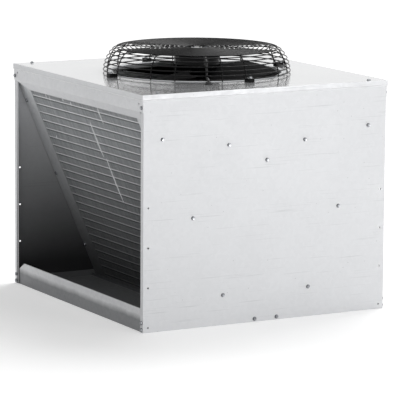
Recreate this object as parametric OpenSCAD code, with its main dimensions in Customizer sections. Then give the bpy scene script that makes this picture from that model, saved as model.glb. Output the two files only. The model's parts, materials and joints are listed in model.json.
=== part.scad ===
// Remote condenser for a refrigeration system: a galvanised steel cabinet,
// open at the front and the back, with two slanted finned coils that meet
// near the floor and an axial fan that draws the air up through the lid.
// Frame: +Z up, X across the width, Y through the depth. The front intake
// faces -Y. The origin is the middle of the underside of the base pan.

/* [Cabinet] */
// Width over the lid, side to side
cab_w = 766; // [720:1:860]
// Depth over the lid, from intake face to intake face
cab_d = 728; // [700:1:800]
// Height from the floor to the top of the lid
cab_h = 612; // [580:1:700]
// Thickness of the galvanised sheet
sheet_t = 1.5; // [1:0.1:2]
// Gap between folded sheets that lap each other
fit_gap = 0.3; // [0.2:0.05:0.5]
// Height of the flange that the lid turns down over the cabinet
lid_flange_h = 15; // [10:1:22]
// Width of the front face of a corner post
post_w = 18; // [16:1:30]
// Width of the part of a post that is set back
post_step_w = 3; // [2:1:6]
// How far that part is set back
post_step = 2; // [1:0.5:3]
// Width of the flange under the lid along each side panel
side_top_w = 28; // [22:1:34]

/* [Rails over the coils] */
// Height of the upright face of a rail, below the top of the lid
rail_face_h = 45; // [38:1:55]
// How far the slanted band of a rail runs in
rail_band_in = 15; // [10:1:20]
// How far that band runs down
rail_band_h = 22; // [14:1:26]
// Width of the rail flange under the lid
rail_top_w = 30; // [20:1:40]
// Width of the corner cut at the left end of the band
rail_relief_w = 38; // [20:1:50]
// Diameter of the spare hole near each end of a rail
rail_hole_d = 5; // [3:0.5:7]

/* [Base] */
// Height of the upturned flange at the front and the back of the pan
base_flange_h = 61; // [50:1:75]
// Width of the hem along that flange
base_hem_w = 12; // [8:1:18]
// Width of the corner cut at the left end of that flange
base_relief_w = 48; // [40:1:80]
// Height of that corner cut
base_relief_h = 28; // [20:1:40]
// Height of the low flange along each side of the pan
base_side_h = 18; // [14:1:24]
// Width of the channel in the middle of the pan
channel_w = 90; // [60:1:100]
// Height of that channel
channel_h = 26; // [18:1:40]
// Width of each foot flange of that channel
channel_foot_w = 14; // [10:1:18]

/* [Coils] */
// Lean of each coil from upright, in degrees
coil_tilt = 23.2; // [21:0.1:25]
// Spacing of the tubes along the slope
tube_pitch = 25.4; // [22:0.1:28]
// Outside diameter of the tubes
tube_d = 9.52; // [8:0.01:11]
// Bore of the tubes
tube_bore = 8.7; // [7:0.01:9]
// Room beside the fin pack, out to the edge of the lid
coil_end_space = 69; // [69:1:90]
// Depth of the fin pack, front to back
coil_depth = 44; // [38:1:48]
// Height of the lower front edge of the fin pack above the floor
coil_foot_z = 12; // [10:1:20]
// Gap between the slanted band and the baffles below it
coil_rail_gap = 1; // [0.5:0.1:4]
// Thickness of the baffle strips and the coil end plates
baffle_t = 1.2; // [1:0.1:1.8]
// Width of the flange around each coil end plate
end_plate_flange = 12; // [8:1:14]
// Length of tube beyond the fin pack at each end
tube_out = 14; // [10:1:18]
// Clearance around a tube in the fins and the end plates
tube_fit = 0.2; // [0.1:0.05:0.4]

/* [Pipework] */
// Outside diameter of the hot gas headers
gas_header_d = 22.2; // [19:0.1:24]
// Outside diameter of the liquid headers
liquid_header_d = 16; // [15:0.1:16]
// Outside diameter of the gas inlet pipe
gas_pipe_d = 15.9; // [12:0.1:19]
// Outside diameter of the liquid outlet pipe
liquid_pipe_d = 12.7; // [9:0.1:12.7]
// Wall of the headers and the pipes
pipe_wall = 1.1; // [0.8:0.1:1.5]
// Length of the stubs between the coil tubes and the headers
stub_len = 20; // [18:1:20]
// How far the inlet and outlet pipes stand out of the left panel
pipe_out = 28; // [24:1:40]
// Depth of the brazing socket at the end of each pipe
socket_len = 16; // [10:1:18]
// Clearance around a pipe in its brazing socket
socket_fit = 0.1; // [0.05:0.01:0.2]

/* [Fan] */
// Radius of the blade tips
blade_tip_r = 222; // [200:1:225]
// Gap between the blade tips and the orifice
tip_gap = 5; // [3:0.5:6]
// Number of blades
blade_count = 5; // [4:1:7]
// Height of a blade along the shaft at its root
blade_root_h = 52; // [40:1:56]
// Height of a blade along the shaft at its tip
blade_tip_h = 40; // [30:1:50]
// Thickness of a blade
blade_t = 2; // [1.5:0.1:3]
// Depth of the straight throat of the orifice
throat_h = 30; // [20:1:40]
// Radius of the flared lip below the throat
bell_r = 24; // [15:1:28]
// Outside radius of the rotor can of the motor
rotor_r = 61.5; // [55:0.5:66]
// Height of the rotor can
rotor_h = 62; // [56:1:64]
// Diameter of the motor shaft
shaft_d = 12; // [10:0.5:14]

/* [Fan guard] */
// Radius of the lowest ring of the guard
guard_r = 251; // [249:1:256]
// Height of the flat top of the guard above the lid
guard_h = 66.5; // [64:0.5:80]
// Radius at which the flat top begins
guard_flat_r = 217; // [212:1:222]
// Diameter of the guard wire
wire_d = 3.2; // [2.6:0.1:3.6]
// Spacing of the rings on the flat top
ring_pitch = 13; // [11:0.5:15]
// Radius of the smallest ring
ring_min_r = 34; // [30:1:40]

/* [Wiring] */
// Width of the junction box
box_w = 116; // [100:1:130]
// Height of the junction box
box_h = 84; // [70:1:90]
// Depth of the junction box
box_d = 45; // [35:1:55]
// Wall of the junction box
box_wall = 2; // [1.5:0.1:3]
// Diameter of the motor lead
lead_d = 6; // [4.5:0.1:6.2]
// Diameter of the run capacitor
capacitor_d = 30; // [25:1:34]

/* [Screws] */
// Diameter of the sheet-metal screws
screw_d = 4.2; // [3.5:0.1:5]
// Width across the flats of the hexagon heads
screw_af = 8; // [5.5:0.1:8]
// Diameter of the washer under each head
washer_d = 11; // [9.5:0.1:11]
// Diameter of the mounting holes in the side panels
leg_hole_d = 5; // [4:0.1:7]

/* [Hidden] */
$fn = 48;

// One overrun for every cut
over = 1;
// Finishes
zinc = "gainsboro";
zinc_inner = "silver";
black = "#1c1c1e";
copper = "peru";

// Outer faces of the sheets, each inside the one that laps it
side_x = cab_w / 2 - sheet_t - fit_gap;
side_in_x = side_x - sheet_t;
rail_y = cab_d / 2 - sheet_t - fit_gap;
post_y = rail_y - sheet_t - fit_gap;
base_x = side_in_x - fit_gap;
base_y = post_y - post_step - sheet_t - fit_gap;
frame_top_z = cab_h - sheet_t - fit_gap;
deck_z = sheet_t + fit_gap;
side_top_y = rail_y - rail_top_w - fit_gap;
rail_half = side_x - post_w - fit_gap;

// The lower inner edge of the slanted band sets the place of the coil
band_y = -rail_y + rail_band_in;
band_z = cab_h - rail_face_h - rail_band_h;
coil_sin = sin(coil_tilt);
coil_cos = cos(coil_tilt);
strip_gap = (baffle_t + fit_gap) / coil_cos;
coil_band_y = band_y + sheet_t + coil_rail_gap + strip_gap;
coil_foot_y = coil_band_y + (band_z - coil_foot_z) * tan(coil_tilt);
slope_len = (band_z - coil_foot_z) / coil_cos;
tube_rows = round(slope_len / tube_pitch);
fin_h = tube_rows * tube_pitch;
fin_end = cab_w / 2 - coil_end_space;
fin_len = 2 * fin_end;
tube_end = fin_end + tube_out;
strip_len = fin_h + rail_band_h / 2;

// The tubes of the two rows stand in a triangle pattern
row_front_y = coil_depth / 4;
row_back_y = coil_depth * 3 / 4;
row_front_share = 0.25;
row_back_share = 0.75;
function tube_place(row, i) = row == 0
    ? [row_front_y, (i + row_front_share) * tube_pitch]
    : [row_back_y, (i + row_back_share) * tube_pitch];
// Each circuit takes this many tubes of each row, from the top down
circuit_tubes = 6;
circuit_tops = [for (i = [tube_rows - 1 : -circuit_tubes : circuit_tubes / 2]) i];
function circuit_end(top) = max(0, top - circuit_tubes + 1);
// The lowest circuit takes what is left
function last_tube(top) = top - circuit_tubes < circuit_tubes / 2 - 1 ? 0 : circuit_end(top);
header_tap_low = circuit_tops[len(circuit_tops) - 1];

// From the slanted frame of the front coil to Y and Z
function coil_yz(y, z) = [coil_foot_y + y * coil_cos - z * coil_sin,
    coil_foot_z + y * coil_sin + z * coil_cos];

// Screws and the holes for them
screw_fit = 0.3;
screw_hole_d = screw_d + 2 * screw_fit;
screw_len = 12;
washer_t = 1;
screw_head_h = 4;
side_screw_y = 14.6;
side_screw_first = 67;
side_screw_pitch = 226.5;
side_screw_set = [for (z = [side_screw_first : side_screw_pitch : strip_len - screw_len])
    coil_yz(side_screw_y, z)];
base_screw_y = 33;
base_screw_z = 8;
post_screw_edge = 7.3;
post_screw_x = side_x - post_screw_edge;
post_screw_up = 18;
post_screw_drop = 33;
post_screw_heights = [base_screw_z, base_screw_z + post_screw_up, cab_h - post_screw_drop];
lid_screw_side = 15;
lid_screw_end = 50;
lid_screw_x = cab_w / 2 - lid_screw_side;
lid_screw_y = cab_d / 2 - lid_screw_end;
leg_hole_edge = 18;
leg_hole_first = 13;
leg_hole_pitch = 103.2;
leg_hole_count = 4;
baffle_screw_up = 22;
baffle_screw_edge = 12;
angle_w = 25;
rail_hole_edge = 22;
rail_hole_drop = 24;

// Pipework at the left end of the coils
gas_header_x = tube_end + stub_len + gas_header_d / 2;
liquid_header_x = tube_end + stub_len + liquid_header_d / 2;
header_over = 14;
gas_cross = coil_yz(row_back_y, (header_tap_low + row_back_share) * tube_pitch - header_over);
liquid_cross_drop = 50;
liquid_cross = coil_yz(row_front_y,
    (header_tap_low + row_front_share) * tube_pitch - liquid_cross_drop);
grommet_lip = 4;
grommet_t = 3;
conduit_d = 22;
conduit_y = 70;
conduit_up = 50;

// The guard, the fan and the motor, measured up from the lid
throat_r = blade_tip_r + tip_gap;
orifice_flange_w = 13;
lid_hole_r = throat_r + sheet_t + fit_gap;
guard_bend = 0.7;
guard_ring_shares = [0.09, 0.26, 0.43, 0.6, 0.78, 0.92];
function guard_at(h) = guard_flat_r + (guard_r - guard_flat_r)
    * pow(1 - pow(h / guard_h, 2), guard_bend);
low_ring_h = guard_ring_shares[0] * guard_h;
guard_turn_a = 3;
spoke_pair_a = 45;
spoke_gap_a = 16;
weld_gap = 0.05;
foot_w = 16;
foot_len = 24;
foot_h = 10;
foot_in = 0.8;
guard_screw_r = guard_r + foot_len - foot_w / 2;
plate_r = 50;
plate_t = 3;
plate_top = guard_h - wire_d * 3 / 2 - 2 * weld_gap;
plate_under = plate_top - plate_t;
motor_screw_r = ring_min_r + ring_pitch / 2;
motor_screw_d = 5;
motor_screw_count = 4;
flange_r = 58;
flange_t = 9;
flange_under = plate_under - flange_t;
motor_neck_h = 3;
rotor_top = flange_under - motor_neck_h;
rotor_bottom = rotor_top - rotor_h;
rotor_wall = 2.5;
rotor_floor = 4;
air_gap = 0.8;
stator_gap = 4;
stator_bottom = rotor_bottom + rotor_floor + stator_gap;
bearing_d = 32;
bearing_h = 10;
bearing_fit = 0.1;
shaft_play = 2;
shaft_end = 1;
boss_r = 14;
boss_gap = 0.5;
ring_gap = 0.2;
ring_t = 2.5;
blade_ring_r = rotor_r + ring_gap + ring_t;
blade_rise = 22;
blade_mid_h = blade_rise - blade_root_h / 2;
blade_chord_a = 64;
blade_sweep_a = 14;
blade_camber = 5;
blade_root_gap = 0.3;
blade_steps = 8;

// The junction box and what is around it
cover_t = 1.5;
cover_lip = 8;
strap_w = 14;
capacitor_h = 66;
capacitor_gap = 2.6;
capacitor_y = box_w / 2 + cover_t + capacitor_gap + strap_w + capacitor_d / 2;
bracket_margin = 4.9;
bracket_w = 2 * (capacitor_y + capacitor_d / 2 + strap_w + bracket_margin);
bracket_h = 84;
bracket_edge = 12;
bracket_mid_drop = 46;
bracket_x = side_in_x - fit_gap;
bracket_screw_drop = 142;
bracket_screw_z = cab_h - bracket_screw_drop;
bracket_screw_down = 26;
bracket_top_z = bracket_screw_z + bracket_screw_down;
box_back_x = bracket_x - sheet_t - fit_gap;
box_front_x = box_back_x - box_d;
box_mid_z = bracket_top_z - bracket_h / 2;
block_w = 70;
block_h = 20;
block_d = 18;
wiring_screw_d = 4;
lead_a = -22.5;
lead_fit = 0.2;
gland_out = 34;
gland_r = guard_r + gland_out;
gland_d = 16;
gland_h = 7;
gland_under_h = 9;
gland_flat = 19;

function unit(v) = v / norm(v);
function left_of(v) = [-v[1], v[0]];
function mitre(a, b, c, t) = let (n = left_of(unit(b - a)), m = left_of(unit(c - b)))
    b + t * (n + m) / (1 + n * m);
function shifted(p, t) = [for (i = [0 : len(p) - 1])
    i == 0 ? p[0] + t * left_of(unit(p[1] - p[0]))
    : i == len(p) - 1 ? p[i] + t * left_of(unit(p[i] - p[i - 1]))
    : mitre(p[i - 1], p[i], p[i + 1], t)];
function backwards(p) = [for (i = [len(p) - 1 : -1 : 0]) p[i]];
// Outline of a folded sheet: one face is the path, the other lies to its left
function folded(p, t) = concat(p, backwards(shifted(p, t)));

// A profile in Y and Z that runs along X, centred
module along_x(length) {
    translate([-length / 2, 0, 0]) rotate([90, 0, 90]) linear_extrude(length) children();
}

// A profile in X and Z that runs along Y from the given place
module along_y(start, length) {
    translate([0, start + length, 0]) rotate([90, 0, 0]) linear_extrude(length) children();
}

module facing_back() {
    mirror([0, 1, 0]) children();
}

module facing_left() {
    mirror([1, 0, 0]) children();
}

// The slanted frame of the front coil: y goes in through it, z up its slope
module coil_frame() {
    translate([0, coil_foot_y, coil_foot_z]) rotate([coil_tilt, 0, 0]) children();
}

// A hexagon washer-head screw, its seat at zero and its head upwards
module screw(length = screw_len) {
    cylinder(d = washer_d, h = washer_t);
    translate([0, 0, washer_t]) cylinder(d = screw_af / cos(30), h = screw_head_h - washer_t, $fn = 6);
    translate([0, 0, -length]) cylinder(d = screw_d, h = length);
}

module drill_x(x, d, reach) {
    translate([x - reach, 0, 0]) rotate([0, 90, 0]) cylinder(d = d, h = 2 * reach);
}

module drill_y(y, d, reach) {
    translate([0, y + reach, 0]) rotate([90, 0, 0]) cylinder(d = d, h = 2 * reach);
}

module tube(d, bore, h) {
    difference() {
        cylinder(d = d, h = h);
        translate([0, 0, -over]) cylinder(d = bore, h = h + 2 * over);
    }
}

// A round wire swept along a bent path, its rings square to the path; side is
// a direction that the path never runs along
function path_way(p, i) = unit((i == 0 ? [0, 0, 0] : unit(p[i] - p[i - 1]))
    + (i == len(p) - 1 ? [0, 0, 0] : unit(p[i + 1] - p[i])));
module bent_wire(points, d, side, sides = 8) {
    rings = [for (i = [0 : len(points) - 1]) let (t = path_way(points, i),
        n = unit(cross(t, side)), m = cross(n, t), next = min(i + 1, len(points) - 1),
        lean = t * unit(points[next] - points[next - 1]))
        for (k = [0 : sides - 1]) let (a = 360 * k / sides)
            points[i] + d / 2 * (cos(a) * n / lean + sin(a) * m)];
    last = len(points) - 1;
    polyhedron(rings, concat([[for (k = [0 : sides - 1]) k]],
        [[for (k = [sides - 1 : -1 : 0]) last * sides + k]],
        [for (i = [0 : last - 1], k = [0 : sides - 1]) let (a = i * sides + k,
            b = i * sides + (k + 1) % sides) each [[a, a + sides, b + sides], [a, b + sides, b]]]));
}

// The tray under everything, with a tall flange at the front and the back. Seen
// from outside, each flange is cut at its left end, so the pan fits either way round
module base_pan() {
    color(zinc) difference() {
        union() {
            along_x(2 * base_x) polygon(folded([[-base_y, base_flange_h], [-base_y, 0],
                [base_y, 0], [base_y, base_flange_h]], sheet_t));
            for (s = [-1, 1]) {
                translate([s * (base_x - sheet_t / 2) - sheet_t / 2, -base_y, 0])
                    cube([sheet_t, 2 * base_y, base_side_h]);
                translate([-base_x, s * (base_y - sheet_t * 3 / 2) - sheet_t / 2,
                    base_flange_h - base_hem_w]) cube([2 * base_x, sheet_t, base_hem_w]);
            }
        }
        for (a = [0, 180]) rotate(a) along_y(-base_y - over, base_hem_w) polygon([
            [-base_x - over, base_flange_h - base_relief_h], [-base_x, base_flange_h - base_relief_h],
            [base_relief_w - base_x, base_flange_h], [base_relief_w - base_x, base_flange_h + over],
            [-base_x - over, base_flange_h + over]]);
        for (s = [-1, 1]) {
            for (t = [-1, 1], z = [post_screw_heights[0], post_screw_heights[1]])
                translate([s * post_screw_x, 0, z]) drill_y(t * base_y, screw_hole_d, base_hem_w);
            for (t = [-1, 1]) translate([0, t * base_screw_y, base_screw_z])
                drill_x(s * base_x, screw_hole_d, base_hem_w);
        }
    }
}

// A hat channel that stiffens the pan between the feet of the coils
module base_channel() {
    half = channel_w / 2;
    top = deck_z + channel_h;
    color(zinc_inner) along_x(2 * (base_x - sheet_t - fit_gap))
        polygon(folded([[-half - channel_foot_w, deck_z], [-half, deck_z], [-half, top],
            [half, top], [half, deck_z], [half + channel_foot_w, deck_z]], sheet_t));
}

// A side panel with its two folded posts and the flange under the lid
module side_panel() {
    inner = side_x - post_w;
    step = inner + post_step_w;
    front = [[inner, post_step - post_y], [step, post_step - post_y],
        [step + post_step, -post_y], [side_x, -post_y]];
    back = [for (p = backwards(front)) [p[0], -p[1]]];
    difference() {
        union() {
            linear_extrude(frame_top_z) polygon(folded(concat(front, back), sheet_t));
            translate([side_x - side_top_w, -side_top_y, frame_top_z - sheet_t])
                cube([side_top_w - sheet_t / 2, 2 * side_top_y, sheet_t]);
        }
        for (s = [-1, 1]) {
            for (p = side_screw_set) translate([0, s * p[0], p[1]])
                drill_x(side_x, screw_hole_d, side_top_w);
            translate([0, s * base_screw_y, base_screw_z]) drill_x(side_x, screw_hole_d, side_top_w);
            for (k = [0 : leg_hole_count - 1])
                translate([0, s * (cab_d / 2 - leg_hole_edge), leg_hole_first + k * leg_hole_pitch])
                    drill_x(side_x, leg_hole_d, side_top_w / 2);
            for (z = post_screw_heights) translate([post_screw_x, 0, z])
                drill_y(s * post_y, screw_hole_d, post_w);
            translate([lid_screw_x, s * lid_screw_y, frame_top_z - side_top_w])
                cylinder(d = screw_hole_d, h = 2 * side_top_w);
        }
    }
}

bracket_screws = [[-bracket_w / 2 + bracket_edge, bracket_screw_z],
    [bracket_w / 2 - bracket_edge, bracket_screw_z], [0, bracket_screw_z - bracket_mid_drop]];

module side_panel_right() {
    color(zinc) difference() {
        side_panel();
        for (p = bracket_screws) translate([0, p[0], p[1]])
            drill_x(side_x, screw_hole_d, side_top_w / 2);
    }
}

module side_panel_left() {
    color(zinc) difference() {
        facing_left() side_panel();
        for (p = panel_openings) translate([0, p[0], p[1]]) drill_x(-side_x, p[2], post_w / 2);
    }
}

// The lid, its flange turned down all round, with the hole for the fan
module top_panel() {
    inner_w = cab_w - 2 * sheet_t;
    inner_d = cab_d - 2 * sheet_t;
    color(zinc) difference() {
        translate([-cab_w / 2, -cab_d / 2, cab_h - lid_flange_h]) cube([cab_w, cab_d, lid_flange_h]);
        translate([-inner_w / 2, -inner_d / 2, cab_h - lid_flange_h - over])
            cube([inner_w, inner_d, lid_flange_h - sheet_t + over]);
        translate([0, 0, cab_h - lid_flange_h]) cylinder(r = lid_hole_r, h = 2 * lid_flange_h, $fn = 96);
        for (s = [-1, 1], t = [-1, 1]) translate([s * lid_screw_x, t * lid_screw_y, 0])
            cylinder(d = screw_hole_d, h = cab_h + over);
        for (k = [0 : 3]) rotate(guard_turn_a + 90 * k) translate([guard_screw_r, 0, 0])
            cylinder(d = screw_hole_d, h = cab_h + over);
        rotate(lead_a) translate([gland_r, 0, 0]) cylinder(d = gland_d + 2 * fit_gap, h = cab_h + over);
    }
}

// The spun ring round the blades: a flange on the lid, a throat and a flared lip
module fan_orifice() {
    lip = [for (a = [0 : 18 : 90]) [throat_r + bell_r * (1 - cos(a)),
        cab_h - throat_h - bell_r * sin(a)]];
    color(zinc_inner) rotate_extrude($fn = 96) polygon(folded(concat(
        [[throat_r + orifice_flange_w, cab_h + sheet_t], [throat_r, cab_h + sheet_t]], lip), sheet_t));
}

// The rail over a coil: an upright face, then a band that slants in to the coil
module top_rail() {
    cut_x = rail_half - rail_relief_w;
    z = cab_h - rail_face_h;
    difference() {
        union() {
            translate([-side_x, -rail_y, z]) cube([2 * side_x, sheet_t, frame_top_z - z]);
            along_x(2 * rail_half) polygon(folded([[rail_top_w - rail_y, frame_top_z],
                [-rail_y, frame_top_z], [-rail_y, z], [band_y, band_z]], sheet_t));
        }
        along_y(-rail_y - over, rail_band_in + sheet_t + 2 * over) polygon([
            [-rail_half - over, z - sheet_t], [-rail_half, z - sheet_t], [-cut_x, band_z],
            [-cut_x, band_z - over], [-rail_half - over, band_z - over]]);
        for (s = [-1, 1]) {
            translate([s * post_screw_x, 0, post_screw_heights[2]])
                drill_y(-rail_y, screw_hole_d, sheet_t + over);
            translate([s * (side_x - rail_hole_edge), 0, cab_h - rail_hole_drop])
                drill_y(-rail_y, rail_hole_d, sheet_t + over);
        }
    }
}

module top_rail_front() {
    color(zinc) top_rail();
}

// The same part as the front rail, turned round
module top_rail_back() {
    color(zinc) rotate(180) top_rail();
}

// The folded rest under the lower end of a coil, with a low lip in front
rest_lip_out = 12;
rest_lip_h = 8;
rest_seat_share = 0.95;
module coil_rest() {
    slope = [coil_cos, coil_sin];
    up = [-coil_sin, coil_cos];
    corner = [coil_foot_y, coil_foot_z] - (sheet_t + fit_gap) * up;
    far = corner + rest_seat_share * coil_depth * slope;
    front_y = corner[0] - rest_lip_out;
    along_x(2 * (base_x - sheet_t - fit_gap)) polygon(folded([[front_y, deck_z + rest_lip_h],
        [front_y, deck_z], [corner[0], deck_z], corner, far, [far[0], deck_z]], sheet_t));
}

module coil_rest_front() {
    color(zinc_inner) coil_rest();
}

module coil_rest_back() {
    color(zinc_inner) facing_back() coil_rest();
}

// A flat strip that closes the gap between the fins and a side panel
module end_baffle() {
    coil_frame() difference() {
        translate([fin_end, -fit_gap - baffle_t, 0])
            cube([base_x - sheet_t - fit_gap - fin_end, baffle_t, strip_len]);
        baffle_screw_holes();
    }
}

baffle_screw_x = base_x - baffle_screw_edge;
baffle_screw_heights = [for (z = [side_screw_first : side_screw_pitch : strip_len - 2 * angle_w])
    z + baffle_screw_up];
module baffle_screw_holes() {
    for (z = baffle_screw_heights) translate([baffle_screw_x, 0, z])
        drill_y(0, screw_hole_d, angle_w / 2);
}

module end_baffle_front_left() {
    color(zinc_inner) facing_left() end_baffle();
}

module end_baffle_front_right() {
    color(zinc_inner) end_baffle();
}

module end_baffle_back_left() {
    color(zinc_inner) facing_back() facing_left() end_baffle();
}

module end_baffle_back_right() {
    color(zinc_inner) facing_back() end_baffle();
}

// The angles on the side panels that carry the coil and its baffles
module side_angles() {
    low = base_side_h * 2;
    for (s = [0, 1]) mirror([s, 0, 0]) coil_frame() difference() {
        translate([0, 0, low]) linear_extrude(fin_h - low)
            polygon(folded([[base_x - angle_w, 0], [base_x, 0], [base_x, angle_w]], sheet_t));
        baffle_screw_holes();
        for (z = [side_screw_first : side_screw_pitch : strip_len - screw_len])
            translate([0, side_screw_y, z]) drill_x(base_x, screw_hole_d, angle_w / 2);
    }
}

module side_angles_front() {
    color(zinc_inner) side_angles();
}

module side_angles_back() {
    color(zinc_inner) facing_back() side_angles();
}

// Bores for every tube of a coil, from one end to the other
module tube_bores(d) {
    for (row = [0, 1], i = [0 : tube_rows - 1]) {
        p = tube_place(row, i);
        translate([-tube_end, p[0], p[1]]) rotate([0, 90, 0]) cylinder(d = d, h = 2 * tube_end);
    }
}

module fins() {
    coil_frame() difference() {
        translate([-fin_end, 0, 0]) cube([fin_len, coil_depth, fin_h]);
        tube_bores(tube_d + 2 * tube_fit);
    }
}

module fins_front() {
    color("darkgray") fins();
}

module fins_back() {
    color("darkgray") facing_back() fins();
}

// The end plate of a coil, with flanges at its front and its back
module end_plate() {
    x = fin_end + fit_gap;
    coil_frame() difference() {
        linear_extrude(fin_h) polygon(folded([[x + end_plate_flange, 0], [x, 0],
            [x, coil_depth], [x + end_plate_flange, coil_depth]], -baffle_t));
        tube_bores(tube_d + 2 * tube_fit);
    }
}

module end_plate_front_left() {
    color(zinc_inner) facing_left() end_plate();
}

module end_plate_front_right() {
    color(zinc_inner) end_plate();
}

module end_plate_back_left() {
    color(zinc_inner) facing_back() facing_left() end_plate();
}

module end_plate_back_right() {
    color(zinc_inner) facing_back() end_plate();
}

module tubes() {
    coil_frame() for (row = [0, 1], i = [0 : tube_rows - 1]) {
        p = tube_place(row, i);
        translate([-tube_end, p[0], p[1]]) rotate([0, 90, 0]) tube(tube_d, tube_bore, 2 * tube_end);
    }
}

module tubes_front() {
    color(copper) tubes();
}

module tubes_back() {
    color(copper) facing_back() tubes();
}

// A U-bend at the right end, between two tubes of the slanted frame
module return_bend(p, q) {
    v = q - p;
    mid = (p + q) / 2;
    translate([tube_end, mid[0], mid[1]]) rotate([atan2(v[1], v[0]), 0, 0]) rotate([0, 0, -90])
        rotate_extrude(angle = 180) translate([norm(v) / 2, 0, 0]) difference() {
            circle(d = tube_d);
            circle(d = tube_bore);
        }
}

// Bends that join the tubes of each circuit, at the right and the left end
module return_bends() {
    coil_frame() for (top = circuit_tops) {
        low = last_tube(top);
        for (row = [0, 1]) {
            for (i = [top : -2 : low + 1]) return_bend(tube_place(row, i - 1), tube_place(row, i));
            for (i = [top - 1 : -2 : low + 1])
                facing_left() return_bend(tube_place(row, i - 1), tube_place(row, i));
        }
        even = (top - low) % 2;
        mirror([even, 0, 0]) return_bend(tube_place(0, low), tube_place(1, low));
    }
}

module return_bends_front() {
    color(copper) return_bends();
}

module return_bends_back() {
    color(copper) facing_back() return_bends();
}

// A header with one stub to the first tube of each circuit of a row
module header(row, d, x, drop) {
    low = tube_place(row, header_tap_low);
    high = tube_place(row, circuit_tops[0]);
    coil_frame() difference() {
        union() {
            translate([-x, low[0], low[1] - drop]) cylinder(d = d, h = high[1] - low[1] + drop + header_over);
            for (top = circuit_tops) {
                p = tube_place(row, top);
                translate([-x, p[0], p[1]]) rotate([0, 90, 0]) cylinder(d = tube_d, h = x - tube_end);
            }
        }
        translate([-x, low[0], low[1] - drop + pipe_wall])
            cylinder(d = d - 2 * pipe_wall, h = high[1] - low[1] + drop + header_over - 2 * pipe_wall);
        for (top = circuit_tops) {
            p = tube_place(row, top);
            translate([-x, p[0], p[1]]) rotate([0, 90, 0]) cylinder(d = tube_bore, h = x - tube_end + over);
        }
    }
}

module gas_header() {
    difference() {
        header(1, gas_header_d, gas_header_x, 2 * header_over);
        translate([-gas_header_x, 0, gas_cross[1]])
            rotate([90, 0, 0]) cylinder(d = gas_pipe_d + 2 * tube_fit, h = cab_d / 2);
    }
}

module gas_header_front() {
    color(copper) gas_header();
}

module gas_header_back() {
    color(copper) facing_back() gas_header();
}

module liquid_header() {
    difference() {
        header(0, liquid_header_d, liquid_header_x, liquid_cross_drop + header_over);
        translate([-liquid_header_x, 0, liquid_cross[1]])
            rotate([90, 0, 0]) cylinder(d = liquid_pipe_d + 2 * tube_fit, h = cab_d / 2);
    }
}

module liquid_header_front() {
    color(copper) liquid_header();
}

module liquid_header_back() {
    color(copper) facing_back() liquid_header();
}

// A pipe that joins two headers and has one end out of the left panel
module cross_pipe(x, place, d) {
    half = -place[0];
    out = side_x + pipe_out;
    bore = d - 2 * pipe_wall;
    translate([-x, 0, place[1]]) difference() {
        union() {
            translate([0, half, 0]) rotate([90, 0, 0]) cylinder(d = d, h = 2 * half);
            translate([x - out, 0, 0]) rotate([0, 90, 0]) cylinder(d = d, h = out - x);
            translate([x - out, 0, 0]) rotate([0, 90, 0])
                cylinder(d = d + 2 * (socket_fit + pipe_wall), h = socket_len + pipe_wall);
        }
        translate([x - out - over, 0, 0]) rotate([0, 90, 0])
            cylinder(d = d + 2 * socket_fit, h = socket_len + over);
        translate([0, half + over, 0]) rotate([90, 0, 0]) cylinder(d = bore, h = 2 * half + 2 * over);
        translate([x - out - over, 0, 0]) rotate([0, 90, 0]) cylinder(d = bore, h = out - x + over);
    }
}

module gas_pipe() {
    color(copper) cross_pipe(gas_header_x, gas_cross, gas_pipe_d);
}

module liquid_pipe() {
    color(copper) cross_pipe(liquid_header_x, liquid_cross, liquid_pipe_d);
}

// Places and bores of the grommets in the left panel: gas, liquid and conduit
grommet_places = [[0, gas_cross[1], gas_pipe_d + 2 * tube_fit],
    [0, liquid_cross[1], liquid_pipe_d + 2 * tube_fit],
    [conduit_y, gas_cross[1] + conduit_up, conduit_d]];
panel_openings = [for (p = grommet_places) [p[0], p[1], p[2] + 2 * grommet_t + 2 * fit_gap]];
module panel_grommets() {
    color(black) for (p = grommet_places) translate([-side_x, p[0], p[1]]) rotate([0, -90, 0])
        rotate_extrude() {
            r = p[2] / 2;
            lip = fit_gap + grommet_t;
            translate([r, -sheet_t - lip]) square([grommet_t, sheet_t + 2 * lip]);
            translate([r, fit_gap]) square([grommet_t + grommet_lip, grommet_t]);
            translate([r, -sheet_t - lip]) square([grommet_t + grommet_lip, grommet_t]);
        }
}

// One ring of the guard
module ring(r, h) {
    translate([0, 0, cab_h + h]) rotate_extrude($fn = 96) translate([r, 0, 0]) circle(d = wire_d, $fn = 24);
}

module guard_top_rings() {
    color(black) for (r = [guard_flat_r : -ring_pitch : ring_min_r]) ring(r, guard_h);
}

module guard_side_rings() {
    color(black) for (share = guard_ring_shares) ring(guard_at(share * guard_h), share * guard_h);
}

// A spoke lies against the inside of the rings, from the lid to the motor plate
function spoke_path() = let (in = wire_d + weld_gap) concat(
    [[guard_r - in, 0, cab_h + wire_d / 2]],
    [for (share = guard_ring_shares) let (h = share * guard_h,
        a = atan2(guard_at(h - weld_gap) - guard_at(h + weld_gap), 2 * weld_gap))
        [guard_at(h) - in * cos(a), 0, cab_h + h - in * sin(a)]],
    [[guard_flat_r, 0, cab_h + guard_h - in], [ring_min_r - wire_d, 0, cab_h + guard_h - in]]);

module guard_spokes() {
    color(black) for (k = [0 : 360 / spoke_pair_a - 1], a = [0, -spoke_gap_a])
        rotate(guard_turn_a + spoke_pair_a * k + a) bent_wire(spoke_path(), wire_d, [0, 1, 0]);
}

// The clips that hold the lowest ring down on the lid
module guard_feet() {
    color(black) for (k = [0 : 3]) rotate(guard_turn_a + 90 * k) difference() {
        translate([guard_r - foot_in, -foot_w / 2, cab_h]) cube([foot_len, foot_w, foot_h]);
        ring_groove();
        translate([guard_screw_r, 0, cab_h - over]) cylinder(d = screw_hole_d, h = foot_h + 2 * over);
    }
}

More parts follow.
